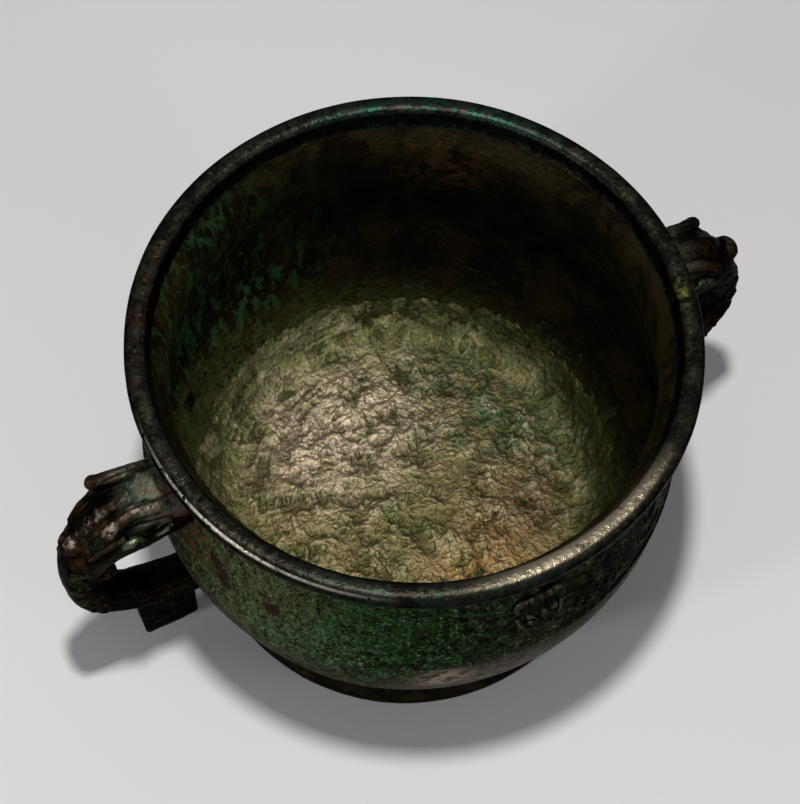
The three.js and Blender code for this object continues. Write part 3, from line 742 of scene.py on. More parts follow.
# darker olive towards the crust's rim, reaching further in on the right: partly corrosion, partly painted shade
dark_edge_and_shade = (swaying_radius + skin.x * 0.12 - skin.y.most(0.0) * 0.11).fade(0.074, 0.091)
green_grit = (skin_patches * 0.5 + skin_spots * 0.5).fade(0.38, 0.54)
skin_tone = skin.coats(
    tone(114, 102, 72),
    (skin_patches.fade(0.38, 0.60), tone(84, 86, 52)),
    # paler crust left of the middle, brightened further as a painted pool of light
    (skin.near(PALE_MIDDLE_AND_LIGHT_POOL, 0.95) * skin_patches.fade(0.74, 0.34) * 0.95, tone(196, 178, 156)),
    (skin.near(PINK_PATCH, 0.9) * skin_patches.fade(0.36, 0.6) * 0.7, tone(114, 76, 64)),
    (skin.near(ORANGE_FRONT, 0.9) * skin_spots.fade(0.36, 0.6) * 0.75, tone(150, 108, 62)),
    (skin.near(GREEN_SIDE, 0.85) * green_grit * 0.9, tone(54, 68, 44)),
    (skin.near(TEAL_BLOTS, 0.8) * skin_spots.fade(0.50, 0.60) * 0.5, tone(42, 72, 54)),
    (edge_green * 0.75, tone(82, 86, 52)),
    (dark_edge_and_shade * 0.9, tone(50, 52, 30)),
    (skin.near(BACK_EDGE, 0.8) * skin_spots.fade(0.40, 0.56) * 0.6, tone(112, 112, 76)),
    (skin.from_axis.fade(0.0815, 0.0865) * 0.8, tone(60, 60, 35)),
    (skin_specks.fade(0.58, 0.66) * skin_spots.fade(0.5, 0.6) * 0.7, tone(44, 96, 68)),
    (skin_spots.fade(0.44, 0.34) * 0.55, tone(66, 58, 36)),
    (skin_crystals.fade(0.44, 0.34) * 0.4, tone(54, 50, 30)),
    # painted shade in the crust's hollows and painted highlights on its ridges, from the stored relief height
    (height_share.fade(0.40, 0.05) * 0.6, tone(52, 46, 26)),
    (height_share.fade(0.55, 0.95) * (1 - dark_edge_and_shade) * 0.22, tone(188, 176, 146)),
)
floor_bronze = skin.end({
    "Base Color": skin_tone,
    "Roughness": (0.46 + (skin_spots - 0.5) * 0.3 + edge_green * 0.12).least(0.9),
    "Metallic": 0.75 + dark_edge_and_shade * 0.11,
    "Specular IOR Level": 0.07,
    "Specular Tint": BRONZE_TINT,
    "Normal": skin.relief(0.0005, (skin.noise(0.0016, 2, 0.5) - 0.5) * 1.2 + (skin_crystals - 0.5) * 0.7),
})
crust = show("floor_crust", crusted.grow("floor_crust", crust_source, {"Finish": floor_bronze}))
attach(crust, "root")

# Relief band
# Ornament cast in one with the wall between two raised lines on the shoulder: pairs of dragons in low relief that
# walk towards the mask, with a head, a crest, a claw and a curled tail, over a worn ground of squared spirals.
LINE_WIDTH = 0.0024
LINE_RELIEF = 0.0008
UPPER_LINE = 0.1305
LOWER_LINE = 0.091
BAND_MIDDLE = 0.1108
BAND_EDGE = 0.0012  # the band's rim slips under the wall's surface this far past its lines
BAND_BACK = 0.0014
DRAGON_RELIEF = 0.00075
GROUND_RELIEF = 0.0003
GROUND_PITCH = 0.0024
GROUND_CELL = 0.0098
DRAGON_LENGTH = 0.064
DRAGON_START = 0.0125  # from the middle of the mask, along the wall
EYE = (0.0112, 0.0042)  # middle of the eye, from the dragon's nose
EYE_RING = 0.0026
STROKE_BLUR = 0.0004
BAND_ROWS = 64
BAND_SEGMENTS = 1150
# Each stroke: points along and across the band from the dragon's nose, in millimetres, and the stroke's width
DRAGON_STROKES = [
    ([(13, 1), (19, 8), (27, 9), (35, 4), (43, -4), (51, -7), (58, -2), (57.5, 6), (51, 8.5), (47.5, 4)], 4.4),
    ([(15, 9), (9, 11.5), (3.5, 8.5), (1.5, 2.5), (4.5, -1)], 3.4),
    ([(12, -2.5), (7, -5), (3.5, -9), (6, -12.5), (10, -11)], 3.0),
    ([(16, 12), (23, 15.5), (33, 14.5), (38, 10.5)], 2.6),
    ([(22, 2), (24, -6), (19.5, -10.5), (24, -14), (31, -11)], 3.2),
    ([(33, -2), (37, -9), (45, -13.5), (55, -13)], 2.6),
    ([(41, 11), (47, 14.5), (55, 14.5), (61, 10.5)], 2.4),
]


def smooth_line(points, steps=6):
    """More points along a soft curve through these"""
    knots = np.array([points[0], *points, points[-1]], float)
    share = np.linspace(0, 1, steps, endpoint=False)[:, None]
    line = []
    for a, b, c, d in zip(knots, knots[1:], knots[2:], knots[3:]):
        line.append(0.5 * (2 * b + (c - a) * share + (2 * a - 5 * b + 4 * c - d) * share**2
                           + (3 * b - a - 3 * c + d) * share**3))
    return np.vstack([*line, knots[-1:]])


def step_between(value, start, end):
    share = np.clip((value - start) / (end - start), 0, 1)
    return share * share * (3 - 2 * share)


def distance_to_line(spots, line):
    """How far each flat point is from a line of points"""
    nearest = np.full(len(spots), 1.0)
    for start, end in zip(line, line[1:]):
        along = end - start
        share = np.clip(((spots - start) @ along) / max(along @ along, 1e-12), 0, 1)
        nearest = np.minimum(nearest, np.linalg.norm(spots - start - share[:, None] * along, axis=1))
    return nearest


def squared_spirals(along, across):
    """Ground of small squared spirals, 0 to 1"""
    u = np.mod(along, GROUND_CELL) - GROUND_CELL / 2
    v = np.mod(across, GROUND_CELL) - GROUND_CELL / 2
    ring = np.maximum(abs(u), abs(v)) / GROUND_PITCH
    turn = np.arctan2(v, u) / (2 * math.pi)
    return step_between(abs(np.mod(ring + turn, 1) - 0.5), 0.16, 0.34)


band_heights = np.linspace(BAND_LOW - BAND_EDGE, BAND_HIGH + BAND_EDGE, BAND_ROWS)
to_line = np.minimum(abs(band_heights - UPPER_LINE), abs(band_heights - LOWER_LINE))
band_radii = wall_radius(band_heights) + LINE_RELIEF * (1 - step_between(to_line, LINE_WIDTH / 4, LINE_WIDTH / 2))
band_radii[[0, -1]] -= BAND_EDGE
band_outer = np.column_stack([band_radii, band_heights])
band_inner = band_outer[::-12] - np.array([BAND_BACK, 0])
band_line = np.vstack([band_outer, band_inner, band_outer[:1]])
band_mesh = lathe("relief_band", band_line, bowl_bronze, around=BAND_SEGMENTS)
band_points, band_normals = places_and_normals(band_mesh)
band_turns = np.arctan2(band_points[:, 1], band_points[:, 0])
from_mask = abs(abs(band_turns) - math.pi / 2)
along_band = from_mask * BELLY_RADIUS - DRAGON_START
across_band = band_points[:, 2] - BAND_MIDDLE
flat_band = np.column_stack([np.mod(along_band, DRAGON_LENGTH), across_band])
raised = np.zeros(len(band_points))
for points, width in DRAGON_STROKES:
    half_width = width / 2000
    gap = distance_to_line(flat_band, smooth_line(points) / 1000)
    raised = np.maximum(raised, 1 - step_between(gap, half_width - STROKE_BLUR, half_width + STROKE_BLUR))
to_eye = np.linalg.norm(flat_band - EYE, axis=1)
raised = np.maximum(raised, 1 - step_between(abs(to_eye - EYE_RING), 0.0004, 0.0009))
raised = np.maximum(raised, 1.2 * (1 - step_between(to_eye, 0.0008, 0.0016)))
ground = squared_spirals(along_band, across_band + GROUND_CELL / 2) * (raised < 0.05)
field = (step_between(band_points[:, 2], LOWER_LINE + 0.0012, LOWER_LINE + 0.0026)
         * (1 - step_between(band_points[:, 2], UPPER_LINE - 0.0026, UPPER_LINE - 0.0012))
         * step_between(along_band, -0.001, 0.001)
         * (band_normals[:, :2] * band_points[:, :2] > 0).any(axis=1))
wear = 0.62 + 0.38 * np.sin(7 * band_turns + 1.3) * np.sin(11 * band_turns + 60 * band_points[:, 2])
band_lift = (raised * DRAGON_RELIEF + ground * GROUND_RELIEF) * field * wear
outwards = np.column_stack([np.cos(band_turns), np.sin(band_turns), np.zeros(len(band_turns))])
facing_out = (band_normals * outwards).sum(axis=1) > 0.2
band_points += outwards * (band_lift * facing_out)[:, None]
band_mesh.vertices.foreach_set("co", band_points.ravel())
band_mesh.update()
relief_band = show("relief_band", band_mesh)
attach(relief_band, "root")

# Ring foot
# A low hollow ring that carries the bowl, with an upright edge on the ground and a waist above it. It is cast with
# or onto the base, and its brown skin has green and dark red crusts.
FOOT_RADIUS = 0.083
FOOT_WALL = 0.005
FOOT_EDGE = 0.0035
FOOT_WAIST_RADIUS = 0.0795
FOOT_SEAT_DEPTH = 0.0015  # how far its top goes into the base
FOOT_ROUND = 0.0006
FOOT_SEGMENTS = 420
foot_top = BASE_HEIGHT + FOOT_SEAT_DEPTH
foot_inner = FOOT_RADIUS - FOOT_WALL
foot_top_inner = BASE_RADIUS - FOOT_WALL
foot_line = np.vstack([
    [[foot_inner + FOOT_ROUND, 0]],
    level_line((foot_inner + FOOT_ROUND, 0), (FOOT_RADIUS - FOOT_ROUND, 0), 4),
    bend([(FOOT_RADIUS - FOOT_ROUND, 0), (FOOT_RADIUS, 0), (FOOT_RADIUS, 0), (FOOT_RADIUS, FOOT_ROUND)], 3),
    level_line((FOOT_RADIUS, FOOT_ROUND), (FOOT_RADIUS, FOOT_EDGE), 3),
    bend([(FOOT_RADIUS, FOOT_EDGE), (FOOT_RADIUS - 0.0008, FOOT_EDGE + 0.001), (FOOT_WAIST_RADIUS, FOOT_EDGE * 2),
          (FOOT_WAIST_RADIUS, BASE_HEIGHT / 2)], 10),
    level_line((FOOT_WAIST_RADIUS, BASE_HEIGHT / 2), (FOOT_WAIST_RADIUS, foot_top), 12),
    level_line((FOOT_WAIST_RADIUS, foot_top), (foot_top_inner, foot_top), 4),
    level_line((foot_top_inner, foot_top), (foot_top_inner, FOOT_EDGE * 2), 14),
    bend([(foot_top_inner, FOOT_EDGE * 2), (foot_top_inner, FOOT_EDGE), (foot_inner, FOOT_EDGE / 2),
          (foot_inner, FOOT_ROUND)], 6),
    [[foot_inner + FOOT_ROUND, 0]],
])

ring = Finish("foot_bronze")
foot_patches = ring.noise(0.014, 5, 0.62, 0.4)
foot_spots = ring.noise(0.005, 4, 0.6, 0.2)
foot_grains, foot_blisters, foot_pits = fine_crust(ring)
foot_tone = ring.coats(
    tone(15, 14, 8),
    (foot_patches.fade(0.42, 0.6), tone(34, 31, 19)),
    (foot_spots.fade(0.56, 0.66) * 0.7, tone(46, 25, 17)),
    (ring.noise(0.03, 3).fade(0.54, 0.62) * foot_spots.fade(0.42, 0.56), tone(24, 42, 26)),
    (ring.z.fade(0.0035, 0.0005) * 0.5, tone(60, 53, 40)),
)
foot_bronze = ring.end({
    "Base Color": foot_tone,
    "Roughness": (0.56 + (foot_spots - 0.5) * 0.6).least(0.9),
    "Metallic": 0.86,
    "Specular IOR Level": 0.07,
    "Specular Tint": BRONZE_TINT,
    "Normal": ring.relief(0.0006, foot_grains * 1.1 + foot_blisters * 0.2 - foot_pits * 0.5, 0.9),
})
foot_mesh = lathe("ring_foot", foot_line, foot_bronze, around=FOOT_SEGMENTS, sway=0.0004)
ring_foot = show("foot_casting", foot_mesh)
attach(ring_foot, "root")
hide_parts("ring_foot")

# Spacers
# Small squares of scrap bronze that held the clay core off the mould while the bowl was poured. They stay in the
# wall and the floor, flush on both sides, and a redder or darker skin shows where they are.
SPACER_SIZE = 0.0075
SPACER_PROUD = 0.00012
FLOOR_SPACER_RADIUS = 0.034
UPPER_SPACER_HEIGHT = 0.106
UPPER_SPACER_ANGLE = 32
LOWER_SPACER_HEIGHT = 0.052
LOWER_SPACER_ANGLE = 45

spacing = Shape("spacers_through_a_wall", {
    "Wall": (OBJECT, None),
    "Band": (OBJECT, None),
    "Crust": (OBJECT, None),
    "Size": (FLOAT, SPACER_SIZE),
    "Proud": (FLOAT, SPACER_PROUD),
    "Reach": (FLOAT, 0.009),
    "Raggedness": (FLOAT, 0.0035),
})
given = spacing.given
cube = spacing.node("GeometryNodeMeshCube", {}, {
    "Size": (1.0, 1.0, 1.0), "Vertices X": 13, "Vertices Y": 13, "Vertices Z": 4,
})["Mesh"]
block = spacing.store(cube, "end", spacing.z * 2)
block = spacing.store(block, "edge", abs(spacing.x).most(abs(spacing.y)) * 2)
axis = spacing.stored("axis", "FLOAT_VECTOR")
turned_axis = spacing.node("FunctionNodeAlignRotationToVector", {"axis": "Z"}, {"Vector": axis})[0]
corner_up = spacing.node("FunctionNodeAxisAngleToRotation", {}, {"Axis": (0, 0, 1), "Angle": math.pi / 4})[0]
set_turn = spacing.node("FunctionNodeRotateRotation", {"rotation_space": "LOCAL"}, {
    0: turned_axis, 1: corner_up,
})[0]
points_only = spacing.node("GeometryNodeMeshToPoints", {}, {0: given["Source"]})[0]
blocks = spacing.node("GeometryNodeInstanceOnPoints", {}, {
    "Points": points_only, "Instance": block, "Rotation": set_turn,
    "Scale": spacing.vector(given["Size"], given["Size"], given["Size"] * 0.25),
})[0]
loose = spacing.node("GeometryNodeRealizeInstances", {}, {0: blocks})[0]
colour_noise = spacing.node("ShaderNodeTexNoise", {}, {
    "Vector": spacing.place, "Scale": 420.0, "Detail": 1.0,
})["Color"]
ragged = spacing.scaled(spacing.added(colour_noise, (-0.5, -0.5, -0.5)), given["Raggedness"])
ragged_block = spacing.moved(loose, ragged)
end = spacing.stored("end")
past_wall = spacing.added(spacing.place, spacing.scaled(axis, end.sign() * given["Reach"]))
walls = spacing.node("GeometryNodeJoinGeometry")
for object_name in ("Crust", "Band", "Wall"):
    surface = spacing.node("GeometryNodeObjectInfo", {}, {0: given[object_name]})["Geometry"]
    spacing.nodes.links.new(surface.socket, walls.node.inputs[0])
hit = spacing.node("GeometryNodeRaycast", {}, {
    "Target Geometry": walls[0], "Source Position": past_wall,
    "Ray Direction": spacing.scaled(axis, end.sign() * -1), "Ray Length": given["Reach"] * 2,
})
crown = given["Proud"] - spacing.stored("edge").fade(0.8, 1.0) * 0.0004
flush = spacing.added(hit["Hit Position"], spacing.scaled(axis, end.sign() * crown))
at_end = spacing.node("FunctionNodeCompare", {"operation": "GREATER_THAN"}, {0: abs(end), 1: 0.9})[0]
seated = spacing.node("GeometryNodeSetPosition", {}, {
    "Geometry": ragged_block, "Selection": at_end, "Position": flush,
})[0]
spacing.end(seated, smooth=False)

scrap = Finish("spacer_bronze")
scrap_spots = scrap.noise(0.003, 4, 0.6, 0.2)
scrap_mottle = scrap_spots.fade(0.4, 0.6)
inner_end = scrap.stored("end").fade(0.2, -0.2)
on_floor = (scrap.z - 0.03).fade(0.004, 0.0) * scrap.from_axis.fade(0.06, 0.05)
scrap_tone = scrap.coats(
    tone(56, 38, 28),
    (scrap_mottle, tone(40, 29, 20)),
    (inner_end * 0.85, tone(22, 24, 13)),
    (on_floor, scrap.coats(tone(124, 112, 84), (scrap_mottle, tone(98, 92, 62)))),
)
spacer_bronze = scrap.end({
    "Base Color": scrap_tone,
    "Roughness": 0.5 + (scrap_spots - 0.5) * 0.6,
    "Metallic": 0.8,
    "Specular IOR Level": 0.07,
    "Specular Tint": BRONZE_TINT,
    "Normal": scrap.relief(0.0005, scrap.noise(0.0016, 2, 0.5) * 1.2),
})


def set_spacers(name, middles, axes):
    """Spacers of one row as one mesh"""
    source = bpy.data.meshes.new(name + "_middles")
    source.from_pydata([tuple(map(float, middle)) for middle in middles], [], [])
    attribute = source.attributes.new("axis", "FLOAT_VECTOR", "POINT")
    attribute.data.foreach_set("vector", np.array(axes, float).ravel())
    return spacing.grow(name, source, {
        "Wall": bowl, "Band": relief_band, "Crust": crust, "Finish": spacer_bronze,
    })


def middles_on_wall(height, degrees):
    """Four places on the wall at this height, and the wall's outward direction there"""
    radius = wall_radius(height) - WALL / 2
    slope = (wall_radius(height + 0.001) - wall_radius(height - 0.001)) / 0.002
    turns = np.radians([degrees, 180 - degrees, 180 + degrees, -degrees])
    middles = np.column_stack([np.cos(turns) * radius, np.sin(turns) * radius, np.full(4, height)])
    axes = np.column_stack([np.cos(turns), np.sin(turns), np.full(4, -slope)])
    return middles, axes / np.linalg.norm(axes, axis=1)[:, None]


corners = np.radians([45, 135, 225, 315])
floor_middles = np.column_stack([np.cos(corners) * FLOOR_SPACER_RADIUS, np.sin(corners) * FLOOR_SPACER_RADIUS,
                                 np.full(4, (BASE_HEIGHT + FLOOR_TOP) / 2)])
rows = {
    "floor": (floor_middles, [(0, 0, -1)] * 4),
    "upper": middles_on_wall(UPPER_SPACER_HEIGHT, UPPER_SPACER_ANGLE),
    "lower": middles_on_wall(LOWER_SPACER_HEIGHT, LOWER_SPACER_ANGLE),
}
for row, (middles, axes) in rows.items():
    spacers = show(f"{row}_chaplets", set_spacers(f"{row}_chaplets", middles, axes))
    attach(spacers, "root")
    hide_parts(*[f"{row}_chaplet_{number}" for number in range(1, 5)])

# Handles
# Two hollow castings with their clay cores left inside, poured onto short tenons on the bowl. Each is a loop that
# bears an animal head with two ridged horns, scrolled eyes and a blunt snout, and a flat lug hangs below.
HANDLE_TOP = 0.134
HANDLE_RADIUS = 0.1465
HANDLE_REACH = 0.0438
HANDLE_MIDDLE = 0.086
ARM_BOTTOM = 0.0385
HEAD_THICKNESS = 0.0265
HEAD_WIDTH = 0.026
ARM_THICKNESS = 0.013
ARM_WIDTH = 0.016
HEAD_END = 0.2  # shares of the way along the loop between which the head thins into the arm
ARM_START = 0.52
LOOP_SQUARENESS = 0.72
ROOT_DEPTH = 0.014
SKIN = 0.0026
TENON_LENGTH = 0.006
TENON_GAP = 0.0003
WALL_BITE = 0.0009  # the castings on the wall go this far into it
HORN_RADIUS = 0.0026
HORN_TIP_RADIUS = 0.0031
HORN_START = 0.1020
HORN_SHORT_TIP = 0.1242  # no horn is quite like its pair
HORN_LONG_TIP = 0.1276
HORN_LEAN = 0.0011
RIGHT_HORN_SINK = 0.0045  # the tips on the right handle lie this much lower
# Line of a horn: share of its length from root to tip, distance from the head's middle, and height
HORN_LINE = [(0.0, 0.0093, 0.1300), (0.28, 0.0082, 0.1328), (0.6, 0.0078, 0.1342), (0.85, 0.0088, 0.1332),
             (1.0, 0.0098, 0.1312)]
BROW_RADII = (0.0150, 0.0118, 0.0098)
BROW_MIDDLE = (0.1262, 0, 0.1165)
BROW_LEAN = 0.66
SNOUT_RADIUS = 0.0046
# Line of the nose: share of the way along the handle's outline, and how far its middle lies under that outline
NOSE_LINE = [(0.165, 0.0046), (0.205, 0.0034), (0.245, 0.0026), (0.285, 0.0026), (0.325, 0.0034)]
NOSE_KNOB = (0.1390, 0, 0.1148)
NOSE_KNOB_RADII = (0.0050, 0.0056, 0.0044)
EYEBALL = (0.1208, 0.0128, 0.1198)
EYEBALL_RADII = (0.0017, 0.0014, 0.0017)
NOSTRIL = (0.1410, 0.0048, 0.1062)
NOSTRIL_RADII = (0.0022, 0.0024, 0.0022)
# Raised lines on the far side of the head: points, and the radius at each
EYE_SCROLL = ([(0.1240, 0.0122, 0.1180), (0.1238, 0.0128, 0.1212), (0.1212, 0.0131, 0.1232), (0.1180, 0.0132, 0.1228),
               (0.1156, 0.0130, 0.1208)], [0.0010, 0.0014, 0.0016, 0.0014, 0.0009])
EAR = ([(0.1120, 0.0128, 0.1196), (0.1085, 0.0130, 0.1212), (0.1045, 0.0130, 0.1236)], [0.0008, 0.0015, 0.0011])
CHEEK_RIDGE = ([(0.1222, 0.0108, 0.1262), (0.1262, 0.0110, 0.1236), (0.1312, 0.0102, 0.1196),
                (0.1366, 0.0088, 0.1140)], [0.0020, 0.0014, 0.0015, 0.0010])
CURL_PLACE = (0.1315, 0, 0.091)
CURL_RADIUS = 0.005
CURL_WIDTH = 0.0144
CURL_BEVEL = 0.0008
LUG_WIDTH = 0.024
LUG_THICKNESS = 0.007
LUG_BOTTOM = 0.0105
LUG_GAP = 0.007
LUG_BEVEL = 0.001
LUG_STEP = 0.004
VOXEL = 0.00055
HIGH_ROUNDS = 14  # how wide the surroundings are that a high spot is measured against
HIGH_SPAN = 0.0004
HANDLE_TINT = (0.36, 0.36, 0.36, 1.0)

handle_upper = HANDLE_TOP - HANDLE_MIDDLE
handle_lower = HANDLE_MIDDLE - ARM_BOTTOM
handle_outline = np.vstack([
    [(wall_radius(HANDLE_TOP) - ROOT_DEPTH, HANDLE_TOP)],
    bend([(wall_radius(HANDLE_TOP) - ROOT_DEPTH, HANDLE_TOP),
          (BELLY_RADIUS + HANDLE_REACH * 0.58, HANDLE_TOP + handle_upper * 0.13),
          (HANDLE_RADIUS, HANDLE_MIDDLE + handle_upper * 0.66), (HANDLE_RADIUS, HANDLE_MIDDLE)], 200),
    bend([(HANDLE_RADIUS, HANDLE_MIDDLE), (HANDLE_RADIUS, HANDLE_MIDDLE - handle_lower * 0.55),
          (BELLY_RADIUS + HANDLE_REACH * 0.56, ARM_BOTTOM), (wall_radius(ARM_BOTTOM) - ROOT_DEPTH, ARM_BOTTOM)], 200),
])
outline_lengths = np.append(0, np.cumsum(np.linalg.norm(np.diff(handle_outline, axis=0), axis=1)))
outline_shares = outline_lengths / outline_lengths[-1]


def outline_at(share):
    """Point on the handle's outer outline and the direction there"""
    point = np.array([np.interp(share, outline_shares, handle_outline[:, k]) for k in (0, 1)])
    ahead, behind = (np.array([np.interp(np.clip(share + step, 0, 1), outline_shares, handle_outline[:, k])
                               for k in (0, 1)]) for step in (0.004, -0.004))
    along = (ahead - behind) / np.linalg.norm(ahead - behind)
    return point, along


def body_of_rings(rings):
    """A closed mesh through rings of as many points each, with flat ends"""
    count = len(rings[0])
    points = [tuple(p) for ring_points in rings for p in ring_points]
    faces = [tuple(range(count))[::-1], tuple(len(points) - count + j for j in range(count))]
    for i in range(len(rings) - 1):
        for j in range(count):
            k = (j + 1) % count
            faces.append((i * count + j, i * count + k, (i + 1) * count + k, (i + 1) * count + j))
    mesh = bpy.data.meshes.new("body")
    mesh.from_pydata(points, [], faces)
    return face_outward(mesh)


def face_outward(mesh):
    """The same mesh with its faces turned outwards"""
    shape = bmesh.new()
    shape.from_mesh(mesh)
    bmesh.ops.recalc_face_normals(shape, faces=shape.faces)
    shape.to_mesh(mesh)
    shape.free()
    return mesh


def loop_body(inset, start=0.0, stop=1.0, stations=70, around=36):
    """The loop, or a stretch of it, drawn in by inset all round"""
    rings = []
    for share in np.linspace(start, stop, stations):
        point, along = outline_at(share)
        inward = np.array([along[1], -along[0]])
        slim = step_between(share, HEAD_END, ARM_START)
        half_thick = (HEAD_THICKNESS + (ARM_THICKNESS - HEAD_THICKNESS) * slim) / 2
        half_wide = (HEAD_WIDTH + (ARM_WIDTH - HEAD_WIDTH) * slim) / 2
        centre = point + inward * half_thick
        turns = np.linspace(0, 2 * math.pi, around, endpoint=False)
        down = np.sign(np.cos(turns)) * abs(np.cos(turns)) ** LOOP_SQUARENESS * (half_thick - inset)
        wide = np.sign(np.sin(turns)) * abs(np.sin(turns)) ** LOOP_SQUARENESS * (half_wide - inset)
        rings.append(np.column_stack([centre[0] + inward[0] * down, wide, centre[1] + inward[1] * down]))
    return body_of_rings(rings)


def ball(radii, centre, turn=None):
    shape = bmesh.new()
    bmesh.ops.create_uvsphere(shape, u_segments=28, v_segments=18, radius=1)
    bmesh.ops.scale(shape, vec=radii, verts=shape.verts)
    if turn is not None:
        bmesh.ops.rotate(shape, matrix=turn, verts=shape.verts)
    bmesh.ops.translate(shape, vec=centre, verts=shape.verts)
    mesh = bpy.data.meshes.new("ball")
    shape.to_mesh(mesh)
    shape.free()
    return mesh


def rod(points, radii, around=16):
    """A round bar along a soft line, with its own radius at each point"""
    line = smooth_line(points, 5)
    widths = np.interp(np.linspace(0, 1, len(line)), np.linspace(0, 1, len(radii)), radii)
    turns = np.linspace(0, 2 * math.pi, around, endpoint=False)
    rings = []
    for i, centre in enumerate(line):
        along = Vector(line[min(i + 1, len(line) - 1)] - line[max(i - 1, 0)]).normalized()
        across = along.cross(Vector((0, 1, 0.01))).normalized()
        over = along.cross(across)
        rings.append([Vector(centre) + (across * math.cos(t) + over * math.sin(t)) * widths[i] for t in turns])
    return body_of_rings(rings)


def lug_body():
    """The flat lug, with its edges taken off and a step at its inner corner"""
    inner = wall_radius(ARM_BOTTOM) + LUG_GAP
    outer = inner + LUG_WIDTH
    top = ARM_BOTTOM + ARM_THICKNESS / 2
    outline = [(inner, top), (inner - LUG_BEVEL, LUG_BOTTOM + LUG_STEP), (inner - LUG_BEVEL, LUG_BOTTOM),
               (outer - LUG_BEVEL * 2, LUG_BOTTOM), (outer, top)]
    centre = np.mean(outline, axis=0)
    rings = []
    for y, draw_in in ((-LUG_THICKNESS / 2, LUG_BEVEL), (-LUG_THICKNESS / 2 + LUG_BEVEL, 0),
                       (LUG_THICKNESS / 2 - LUG_BEVEL, 0), (LUG_THICKNESS / 2, LUG_BEVEL)):
        rings.append([(x + np.sign(centre[0] - x) * draw_in, y, z + np.sign(centre[1] - z) * draw_in)
                      for x, z in outline])
    return body_of_rings(rings)


def with_modifier(mesh, kind, **settings):
    """The mesh after one modifier"""
    holder = bpy.data.objects.new("holder", mesh)
    bpy.context.scene.collection.objects.link(holder)
    modifier = holder.modifiers.new("Step", kind)
    for name, value in settings.items():
        setattr(modifier, name, value)
    bpy.context.view_layer.update()
    result = bpy.data.meshes.new_from_object(holder.evaluated_get(bpy.context.evaluated_depsgraph_get()))
    bpy.data.objects.remove(holder)
    return result


def joined(meshes):
    shape = bmesh.new()
    for mesh in meshes:
        shape.from_mesh(mesh)
    whole = bpy.data.meshes.new("joined")
    shape.to_mesh(whole)
    shape.free()
    return whole


def cast_in_one(meshes, voxel, softening):
    """Overlapping bodies as one skin, softened like worn metal"""
    cast = with_modifier(joined(meshes), "REMESH", mode="VOXEL", voxel_size=voxel)
    return with_modifier(cast, "SMOOTH", factor=0.5, iterations=softening)


def with_tool(mesh, operation, tool):
    """What the mesh becomes when another body cuts it or holds it in"""
    holder = bpy.data.objects.new("tool", tool)
    bpy.context.scene.collection.objects.link(holder)
    result = with_modifier(mesh, "BOOLEAN", operation=operation, solver="MANIFOLD", object=holder)
    bpy.data.objects.remove(holder)
    return result


def chase(mesh, strokes, axes, facing):
    """Raises, or sinks where the height is negative, lines drawn on the side that faces along one axis"""
    places, normals = places_and_normals(mesh)
    seen_flat = places[:, axes]
    facing_share = step_between(abs(normals[:, facing]), 0.25, 0.7)
    lift = np.zeros(len(places))
    for points, width, height in strokes:
        gap = distance_to_line(seen_flat, smooth_line(points) / 1000)
        line = (1 - step_between(gap, width / 2000 - 0.0003, width / 2000 + 0.0006)) * height
        lift = np.where(abs(line) > abs(lift), line, lift)
    places += normals * (lift * facing_share)[:, None]
    mesh.vertices.foreach_set("co", places.ravel())
    mesh.update()


worn = Shape("worn_skin", {
    "Sway": (FLOAT, 0.0012),
    "Grain": (FLOAT, 0.0008),
    "Fine Grain": (FLOAT, 0.0005),
})
given = worn.given
worn_push = ((worn.noise(0.018, 2) - 0.5) * given["Sway"] + (worn.noise(0.0045, 3, 0.6) - 0.5) * given["Grain"]
             + (worn.noise(0.0016, 2, 0.6) - 0.5) * given["Fine Grain"])
worn.end(worn.moved(given["Source"], worn.scaled(worn.normal, worn_push)))


def mark_high_spots(mesh):
    """Stores how far each point stands out from its surroundings, 0 to 1: high spots get rubbed metal and painted
    highlights, hollows painted shade
    """
    places, normals = places_and_normals(mesh)
    ends = np.empty(len(mesh.edges) * 2, int)
    mesh.edges.foreach_get("vertices", ends)
    first, second = ends.reshape(-1, 2).T
    count = np.bincount(ends, minlength=len(places)).clip(1)[:, None]

    def averaged(values, rounds):
        for _ in range(rounds):
            total = np.zeros_like(values)
            np.add.at(total, first, values[second])
            np.add.at(total, second, values[first])
            values = (values + total / count) / 2
        return values

    out = ((places - averaged(places, HIGH_ROUNDS)) * normals).sum(axis=1)[:, None]
    high = averaged(out, 3)[:, 0]
    stored = mesh.attributes.new("high", "FLOAT", "POINT")
    stored.data.foreach_set("value", np.clip(0.5 + high / HIGH_SPAN, 0, 1))


def plain_lathe(name, line):
    """A turned body without wear, to cut with"""
    return lathe(name, line, None, around=180, sway=0.0, outside_grain=0.0, inside_grain=0.0)


wall_body = plain_lathe("wall_body", np.vstack([
    [(0, BASE_HEIGHT - 0.002)],
    [(BASE_RADIUS - WALL_BITE, BASE_HEIGHT - 0.002)],
    wall_line[1:] - np.array([WALL_BITE, 0]),
    [(LIP_RADIUS - WALL_BITE, HEIGHT + 0.01), (0, HEIGHT + 0.01)],
]))


def on_side(point, side):
    """A point of the far side where side is 1, or its mirror image on the near side where it is -1"""
    x, y, z = point
    return (x, side * y, z)


